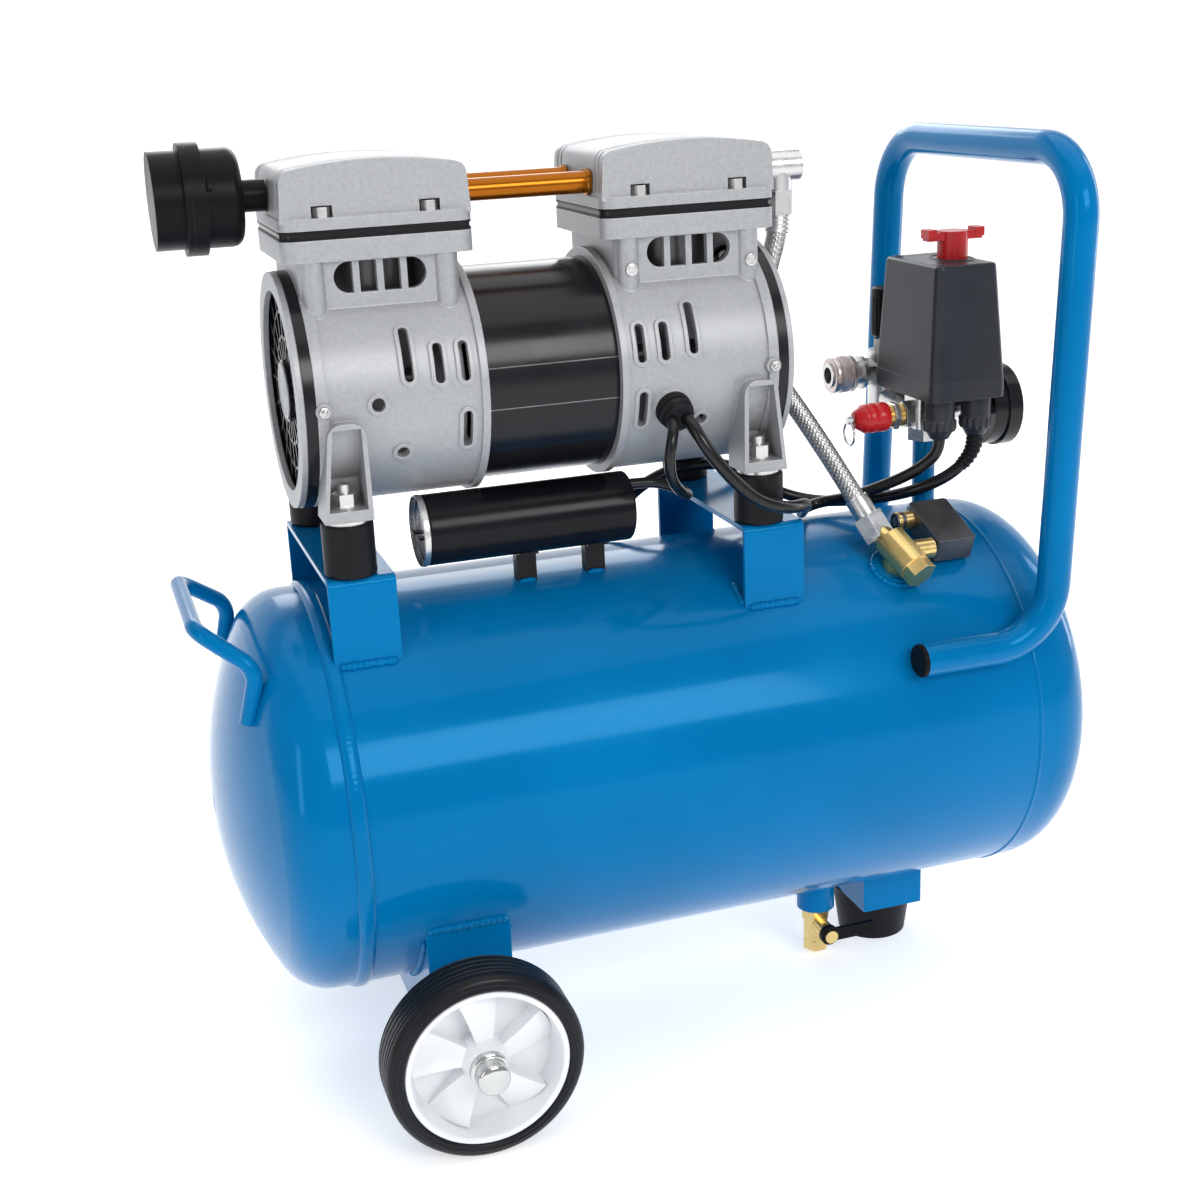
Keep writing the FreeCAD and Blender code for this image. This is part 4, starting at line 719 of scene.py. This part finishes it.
def weld_beads():
    welds = Shape()
    for x in SADDLES_X:
        for side in SIDES:
            welds.add(bead([(x - 17, side * 73.4, 270.2), (x + 17, side * 73.4, 270.2)], 2.2))
            for edge in (-19.4, 19.4):
                welds.add(bead([on_tank(x + edge, side * d, 0.3) for d in (27, 30, 33, 36)], 1.5))
    for side in SIDES:
        # axle bracket
        welds.add(bead([(-172.5, side * 108.2, 119.0), (-124.5, side * 108.2, 119.0)], 2.5))
        for edge in (-173.6, -123.4):
            welds.add(bead([on_tank(edge, side * d, 0.3) for d in range(121, 152, 6)], 1.9))
        # foot bracket
        welds.add(bead([(136, side * 40.4, 58.2), (176, side * 40.4, 58.2)], 1.8))
        # tall handle, above and below each tube
        for start, stop in ((139, 157), (166, 181)):
            for angle in (58.6, 63.6):
                welds.add(bead([on_tank(start, side * angle, 1.5), on_tank(stop, side * angle, 1.5)], 2.1))
    # foot bracket's edges against the tank
    for edge in (134.3, 177.7):
        welds.add(bead([on_tank(edge, d, 0.3) for d in range(162, 200, 4)], 1.8))
    # riser, check valve boss and drain boss
    welds.add(bead(foot_circle(196, 0, 8.4), 1.9, True))
    welds.add(bead(foot_circle(144, -30.3, 14.4), 2.0, True))
    welds.add(bead(foot_circle(108, -169.5, 13.4), 1.7, True))
    for x in CRADLE_LEGS_X:
        welds.add(bead([on_tank(x - 5.5, -13.2, 0.4), on_tank(x + 5.5, -13.2, 0.4)], 1.5))
    welds.piece("weld_beads", BLUE, slot="blue_paint")


tank_seams()
weld_beads()


# ---- wheels --------------------------------------------------------------------------
def tyre_rows():
    """(radius, distance from the inner side, knurl share) across the tread and the shoulder."""
    rows = [(47.1, 1.2, 0), (49.2, 0.6, 0), (50.6, 0.4, 0), (52.6, 1.0, 0), (54.8, 2.4, 0), (56.1, 3.8, 0)]
    for at in TREAD_GROOVES:
        rows += [(radius, at + offset, 0) for radius, offset in GROOVE_SECTION]
    for i in range(13):
        a = math.radians(78 * i / 12)
        rows.append((50.6 + 5.8 * math.cos(a), 24.1 + 5.6 * math.sin(a), 1 if 1 < i < 11 else 0))
    rows += [(51.2, 29.9, 0), (50.5, 29.4, 0), (49.9, 29.4, 0)]
    rows += [(49.2, 30.0, 0), (48.2, 29.9, 0), (47.1, 28.9, 0)]
    return rows


def tyre_piece(name, node, body, side):
    rows = tyre_rows()

    def knurl(k, a):
        if not rows[k][2]:
            return 0
        turn = 150 * a
        return 0.24 * math.cos(turn + 1.9 * k) * math.cos(turn - 1.9 * k)

    made = revolve([(radius, across) for radius, across, _ in rows], TYRE_STEPS, knurl, True)
    Shape().add(made, (AXLE_X, side * WHEEL_INNER_Y, AXLE_Z), (0, side, 0)).piece(
        name, TYRE, body, "tyre_rubber", (node,), 50)


def paddle(index):
    """One broad twisted spoke, wider and lower at the rim than at the hub."""
    rows, across = 11, 9
    points, faces = [], []
    middle = 2 * math.pi * index / SPOKES + 0.25
    for k in range(rows):
        s = k / (rows - 1)
        radius = 11.5 + 30.0 * s
        half = (5.0 + 7.6 * s) / radius
        for i in range(across):
            t = -1 + 2 * i / (across - 1)
            a = middle + half * t + 0.10 * s
            crest = 20.5 - 4.0 * s + t * (0.8 + 4.2 * s) + 0.8 * (1 - t * t)
            points.append((radius * math.cos(a), radius * math.sin(a), crest))
    top = len(points)
    points += [(x, y, 8.5) for x, y, _ in points[:top]]
    for k in range(rows - 1):
        for i in range(across - 1):
            a = k * across + i
            faces.append([a, a + 1, a + across + 1, a + across])
            faces.append([top + a, top + a + across, top + a + across + 1, top + a + 1])
    rim = list(range(across))
    rim += [k * across + across - 1 for k in range(1, rows)]
    rim += [(rows - 1) * across + i for i in range(across - 2, -1, -1)]
    rim += [k * across for k in range(rows - 2, 0, -1)]
    for a, b in zip(rim, rim[1:] + rim[:1]):
        faces.append([a, top + a, top + b, b])
    return points, faces


def wheel_piece(name, node, body, side):
    made = Shape()
    at = (AXLE_X, side * WHEEL_INNER_Y, AXLE_Z)
    axis = (0, side, 0)
    rim = [(47, 1.2), (47, 28.4), (46.6, 29.2), (45.8, 29.5), (44.4, 29.4), (43.4, 28.6), (42.9, 26.5),
           (42.2, 20), (41.3, 13), (40.4, 10.4), (38.6, 9.4), (30, 9.0), (12.0, 9.0), (12.0, 6.6),
           (41.0, 6.6), (43.2, 4.2), (43.6, 1.2)]
    made.add(revolve(rim, 160, None, True), at, axis)
    hub = [(6.06, 1.1), (12.4, 1.1), (13.2, 2.0), (13.2, 20.5), (12.4, 23.4), (11.6, 27.2), (10.6, 28.2),
           (6.06, 28.2)]
    made.add(revolve(hub, 64, None, True), at, axis)
    for index in range(SPOKES):
        made.add(paddle(index), at, axis)
    made.piece(name, WHITE, body, "white_rim", (node,), 32)


def axle_hardware():
    """Each wheel's shank, inner hex head, spacer, washer and push cap."""
    axles = Shape()
    push_cap = [(0, 159.6), (10.7, 159.6), (11.0, 160.0), (11.0, 162.4), (10.4, 163.0), (9.3, 163.2),
                (8.9, 163.8), (8.9, 165.0), (9.3, 165.4), (9.3, 170.6), (8.9, 171.7), (7.9, 172.5),
                (4.5, 173.1), (0, 173.3)]
    for side in SIDES:
        at = (AXLE_X, 0, AXLE_Z)
        axis = (0, side, 0)
        axles.add(revolve(round_profile(5.9, 100, 163, 0.5), 40), at, axis)
        axles.add(hexagon(18, 7, 0.8), (AXLE_X, side * 98, AXLE_Z), axis)
        axles.add(revolve(round_profile(10, 108, 130.4, 0.6), 56), at, axis)
        axles.add(revolve(round_profile(11, 158.4, 159.8, 0.4), 64), at, axis)
        axles.add(revolve(push_cap, 72), at, axis)
    axles.piece("axle_hardware", CHROME, slot="chrome", stands_for=("axle_bolts",), smooth=40)


for place, side in (("front", -1), ("rear", 1)):
    tyre_piece("tyre_" + place + "_tread", "tyre_" + place, place + "_wheel", side)
    wheel_piece("rim_" + place + "_spokes", "wheel_" + place, place + "_wheel", side)
axle_hardware()


# ---- pump ----------------------------------------------------------------------------
def outward(degrees):
    """The direction at an angle from the pump's top towards the front."""
    a = math.radians(degrees)
    return Vector((0, -math.sin(a), math.cos(a)))


def at_case(u, degrees, radius):
    """A point on the pump: u from its middle, angle from the top towards the front."""
    a = math.radians(degrees)
    return Vector((PUMP_X + u, -radius * math.sin(a), PUMP_Z + radius * math.cos(a)))


def pan_head(radius, height):
    """A pan-headed screw with a socket."""
    return revolve([(0, 0), (radius, 0), (radius, height * 0.45), (radius * 0.86, height * 0.8),
                    (radius * 0.55, height), (radius * 0.42, height), (radius * 0.36, height * 0.45),
                    (0, height * 0.45)], 24)


def case_fasteners():
    """Bosses with screws on the crankcases' outer rims, and screws on the right neck."""
    bosses, screws = Shape(), Shape()
    for side in SIDES:
        for degrees in (91, -91):
            at = at_case(side * 129.4, degrees, CASE_R - 0.8)
            out = outward(degrees)
            bosses.add(revolve(round_profile(4.6, 0, 4.0, 0.8), 40), at, out)
            screws.add(hexagon(5.6, 2.2, 0.4), at + out * 4.0, out)
            screws.add(pan_head(1.7, 1.6), at + out * 6.2, out)
    bosses.piece("case_bosses", CAST, slot="cast_aluminium")
    for side in SIDES:
        for offset in (-36.2, 36.2):
            x = PUMP_X + HEAD_U + offset
            axis = (0, side, 0)
            screws.add(revolve(round_profile(3.7, 0, 1.9, 0.6), 28), (x, side * 45.9, NECK_SCREW_Z), axis)
            screws.add(hexagon(4.6, 0.5, 0.2), (x, side * 47.6, NECK_SCREW_Z), axis)
    screws.piece("case_screws", STEEL, slot="steel")


def barrel_seams():
    """Thin raised seams along the motor barrel."""
    seams = Shape()
    for degrees in (79, 100.8, -79, -100.8):
        ridge = [at_case(-BARREL_HALF, degrees + turn, BARREL_R + rise)
                 for turn, rise in ((-0.4, 0), (-0.2, 0.28), (0.2, 0.28), (0.4, 0))]
        seams.add(slab(ridge, (2 * BARREL_HALF, 0, 0)))
    seams.piece("barrel_seams", DARK_STEEL, slot="black_paint")


def fan_hub_caps():
    caps = Shape()
    profile = [(0, -0.4), (15.4, -0.4), (16.2, 0.2), (16.0, 0.9), (14.6, 1.3), (13.8, 0.8), (5.0, 0.5),
               (3.6, 1.0), (0, 1.1)]
    for side in SIDES:
        caps.add(revolve(profile, 72), (PUMP_X + side * 140.0, 0, PUMP_Z), (side, 0, 0))
    caps.piece("fan_hub_caps", CAST, slot="cast_aluminium")


def lead_grommet():
    snout = [(0, -1), (10.4, -1), (10.6, 0.4), (10.6, 3.0), (10.0, 3.9), (8.9, 4.1), (8.6, 5.2), (9.9, 5.8),
             (10.0, 7.4), (8.8, 8.2), (8.4, 9.2), (8.8, 9.9), (8.6, 11.2), (8.0, 11.8), (0, 12.0)]
    grommet = Shape().add(revolve(snout, 72), at_case(68.8, GROMMET_TURN, 65.4), outward(GROMMET_TURN))
    grommet.piece("lead_grommet", RUBBER, slot="black_rubber")


def filter_clips():
    clips = Shape()
    for degrees in (72, 252):
        out = outward(degrees)
        clips.add(bar((-1.6, -2.6, -0.6), (1.6, 2.6, 2.6), 0.4), Vector(FILTER_MIDDLE) + out * 25.8, out)
    clips.piece("filter_clips", MATTE_BLACK, slot="matte_black")


def capacitor_end():
    profile = [(0, 0.0), (16.5, 0.0), (17.6, 0.9), (19.4, 0.9), (20.6, 0.2), (20.9, -1.4), (20.6, -3.2),
               (20.0, -3.4)]
    end = Shape().add(revolve(profile, 96), (-141.2, -30, 330), ALONG_X)
    end.piece("capacitor_end", STEEL, slot="steel")


case_fasteners()
barrel_seams()
fan_hub_caps()
lead_grommet()
filter_clips()
capacitor_end()


# ---- delivery line -------------------------------------------------------------------
def braid(k, a):
    """The hose's radius: strands wound both ways over it."""
    along = HOSE_STEP * k * STRANDS / HOSE_R
    weave = max(math.cos(STRANDS * a + along), math.cos(STRANDS * a - along))
    return HOSE_R + 0.26 * weave


def crimp(k, _):
    """A ferrule's radius, with its pressed rings."""
    return 7.15 + 0.22 * math.cos(math.pi * k / 2.2)


def delivery_hose():
    line = spaced(centreline(HOSE_ROUTE), HOSE_STEP)
    hose = Shape().add(tube(line, braid, 96))
    hose.piece("hose_braid", BRAID, slot="steel_braid", stands_for=("braided_hose",), smooth=180)
    ferrules = Shape()
    for end in (line[:20], line[-24:]):
        ferrules.add(tube(end, crimp, 48))
    ferrules.piece("hose_ferrules", STEEL, slot="steel", smooth=60)


delivery_hose()


# ---- controls ------------------------------------------------------------------------
def gland_nuts():
    glands = Shape()
    nut = [(0, 350.6), (8.2, 350.6), (9.6, 351.4), (10.2, 352.6), (10.2, 357.4), (9.4, 358.2), (0, 358.2)]
    cone = [(0, 346), (5.4, 346), (6.2, 346.6), (8.4, 350.8), (0, 350.9)]

    def flutes(k, a):
        return 0.45 * math.cos(15 * a) if 0 < k < 6 else 0

    for x in GLAND_X:
        at = (x, GLAND_Y, 0)
        glands.add(revolve(round_profile(9.4, 357, 371.4, 0.5), 64), at)
        glands.add(revolve(nut, 120, flutes), at)
        glands.add(revolve(cone, 48), at)
    glands.piece("gland_nuts", SWITCH, slot="switch_black", stands_for=("cable_glands",))


def switch_top_relief():
    """A raised oval round the switch knob, and two screw heads."""
    relief_ring = Shape()
    oval = []
    for i in range(96):
        a = 2 * math.pi * i / 96
        oval.append((213.0 + 11.4 * math.cos(a), -1 + 19 * math.sin(a), 454.0))
    relief_ring.add(tube(oval, 0.55, 10, True))
    for y in (-29.0, 27.0):
        relief_ring.add(revolve([(0, 0), (3.4, 0), (3.4, 0.5), (2.6, 0.9), (0, 0.9)], 32), (190.5, y, 453.7))
    relief_ring.piece("switch_top_relief", SWITCH, slot="switch_black")


def safety_valve():
    """A red ribbed cap, its brass thread and a hex."""
    cap = [(0, 34), (4.6, 34), (5.6, 33.2), (7.4, 30), (9.0, 27.8), (9.2, 26.2), (8.7, 25.4), (9.2, 24.6),
           (9.2, 20.4), (8.7, 19.6), (9.2, 18.8), (9.2, 12.4), (8.6, 11.4), (0, 11.4)]
    ribbed = (7, 8, 10, 11)

    def ribs(k, a):
        return 0.18 * math.cos(24 * a) if k in ribbed else 0

    at = (180, 0, MANIFOLD_Z)
    Shape().add(revolve(cap, 72, ribs), at, ALONG_LEFT).piece(
        "safety_cap", RED, slot="red_plastic", stands_for=("safety_valve",))
    thread = [(0, 0.0)]
    for i in range(9):
        thread += [(6.4, 0.2 + 1.25 * i), (7.2, 0.8 + 1.25 * i)]
    thread += [(6.4, 11.5), (0, 11.5)]
    Shape().add(revolve(thread, 56), at, ALONG_LEFT).piece("safety_thread", BRASS, slot="brass", smooth=20)
    Shape().add(hexagon(16, 4), (176, 0, MANIFOLD_Z), ALONG_LEFT).piece("safety_hex", STEEL, slot="steel")


def coupler_grip():
    """The coupler's sliding sleeve, knurled between two grooves."""
    rows = [(8.1, 0), (11.2, 0), (12, 0.8), (12, 3.2), (11.2, 3.6), (11.2, 4.4), (12, 4.8)]
    rows += [(12, 4.8 + 0.55 * i) for i in range(1, 12)]
    rows += [(11.2, 11.4), (11.2, 12.2), (12, 12.6), (12, 15.2), (11.2, 16), (8.1, 16)]

    def knurl(k, a):
        if not 7 <= k <= 16:
            return 0
        return 0.2 * math.cos(30 * a + 1.6 * k) * math.cos(30 * a - 1.6 * k)

    sleeve = Shape().add(revolve(rows, 240, knurl, True), (158.5, 60, 375.5), ALONG_X)
    sleeve.piece("coupler_grip", COUPLER, "coupler_sleeve", "steel", ("coupler_sleeve",), 50)


def unloader_nozzle():
    """The unloader's open brass fitting, tilted with the tank's surface."""
    at = Vector((156, 13, 10))
    tilt = Matrix.Translation(on_tank(0, -22)) @ Matrix.Rotation(math.radians(22), 4, "X")
    rows = [(3.0, 0), (4.4, 0), (5.7, 1.4), (5.7, 3.4), (4.6, 4.2), (4.6, 5.4), (5.7, 6.2), (5.7, 11.8),
            (3.0, 11.8)]
    points, faces = revolve(rows, 48, None, True)
    turned = [tilt @ (at + Vector((z, x, y))) for x, y, z in points]
    Shape().add((turned, faces)).piece("unloader_nozzle", BRASS, slot="brass")


def gauge_mark(index):
    """One line of the scale: longest at the numbers, shorter at the halves."""
    a = math.radians(DIAL_START - DIAL_SWEEP * index / DIAL_MARKS)
    numbered = index % 10 == 0
    long = 3.2 if numbered else (2.2 if index % 5 == 0 else 1.3)
    out = Vector((0, math.cos(a), math.sin(a)))
    across = Vector((0, -math.sin(a), math.cos(a))) * (0.28 if numbered else 0.14)
    base = Vector((GAUGE_FACE_X - 8.35, 0, MANIFOLD_Z))
    inner, outer = base + out * (MARK_R - long), base + out * MARK_R
    return slab([inner - across, outer - across, outer + across, inner + across], (0.12, 0, 0))


def gauge_digits(index):
    """One number of the scale, standing just off the dial."""
    text = bpy.data.curves.new("digits", "FONT")
    text.body = str(2 * index)
    text.size = 4.6
    text.extrude = 0.06
    text.align_x = "CENTER"
    text.align_y = "CENTER"
    word = bpy.data.objects.new("digits", text)
    glyphs = bpy.data.meshes.new_from_object(word)
    a = math.radians(DIAL_START - DIAL_SWEEP * index / 5)
    centre = Vector((GAUGE_FACE_X - 8.3, DIGIT_R * math.cos(a), MANIFOLD_Z + DIGIT_R * math.sin(a)))
    points = [centre + Vector((v.co.z, v.co.x, v.co.y)) for v in glyphs.vertices]
    faces = [list(p.vertices) for p in glyphs.polygons]
    bpy.data.objects.remove(word)
    bpy.data.meshes.remove(glyphs)
    return points, faces


def gauge_face():
    """Dial, marks with numbers, and the window over them."""
    plate = revolve(round_profile(22.7, 0, 0.5, 0.1), 96)
    dial = Shape().add(plate, (GAUGE_FACE_X - 8.9, 0, MANIFOLD_Z), ALONG_X)
    dial.piece("gauge_dial", DIAL, slot="gauge_case")
    marks = Shape()
    for index in range(DIAL_MARKS + 1):
        marks.add(gauge_mark(index))
    for index in range(6):
        marks.add(gauge_digits(index))
    marks.piece("gauge_marks", INK, slot="gauge_case")
    pane = revolve(round_profile(22.95, 0, 1.2, 0.3), 96)
    window = Shape().add(pane, (GAUGE_FACE_X - 2.2, 0, MANIFOLD_Z), ALONG_X)
    window.piece("gauge_window", GLASS)


gland_nuts()
switch_top_relief()
safety_valve()
coupler_grip()
unloader_nozzle()
gauge_face()
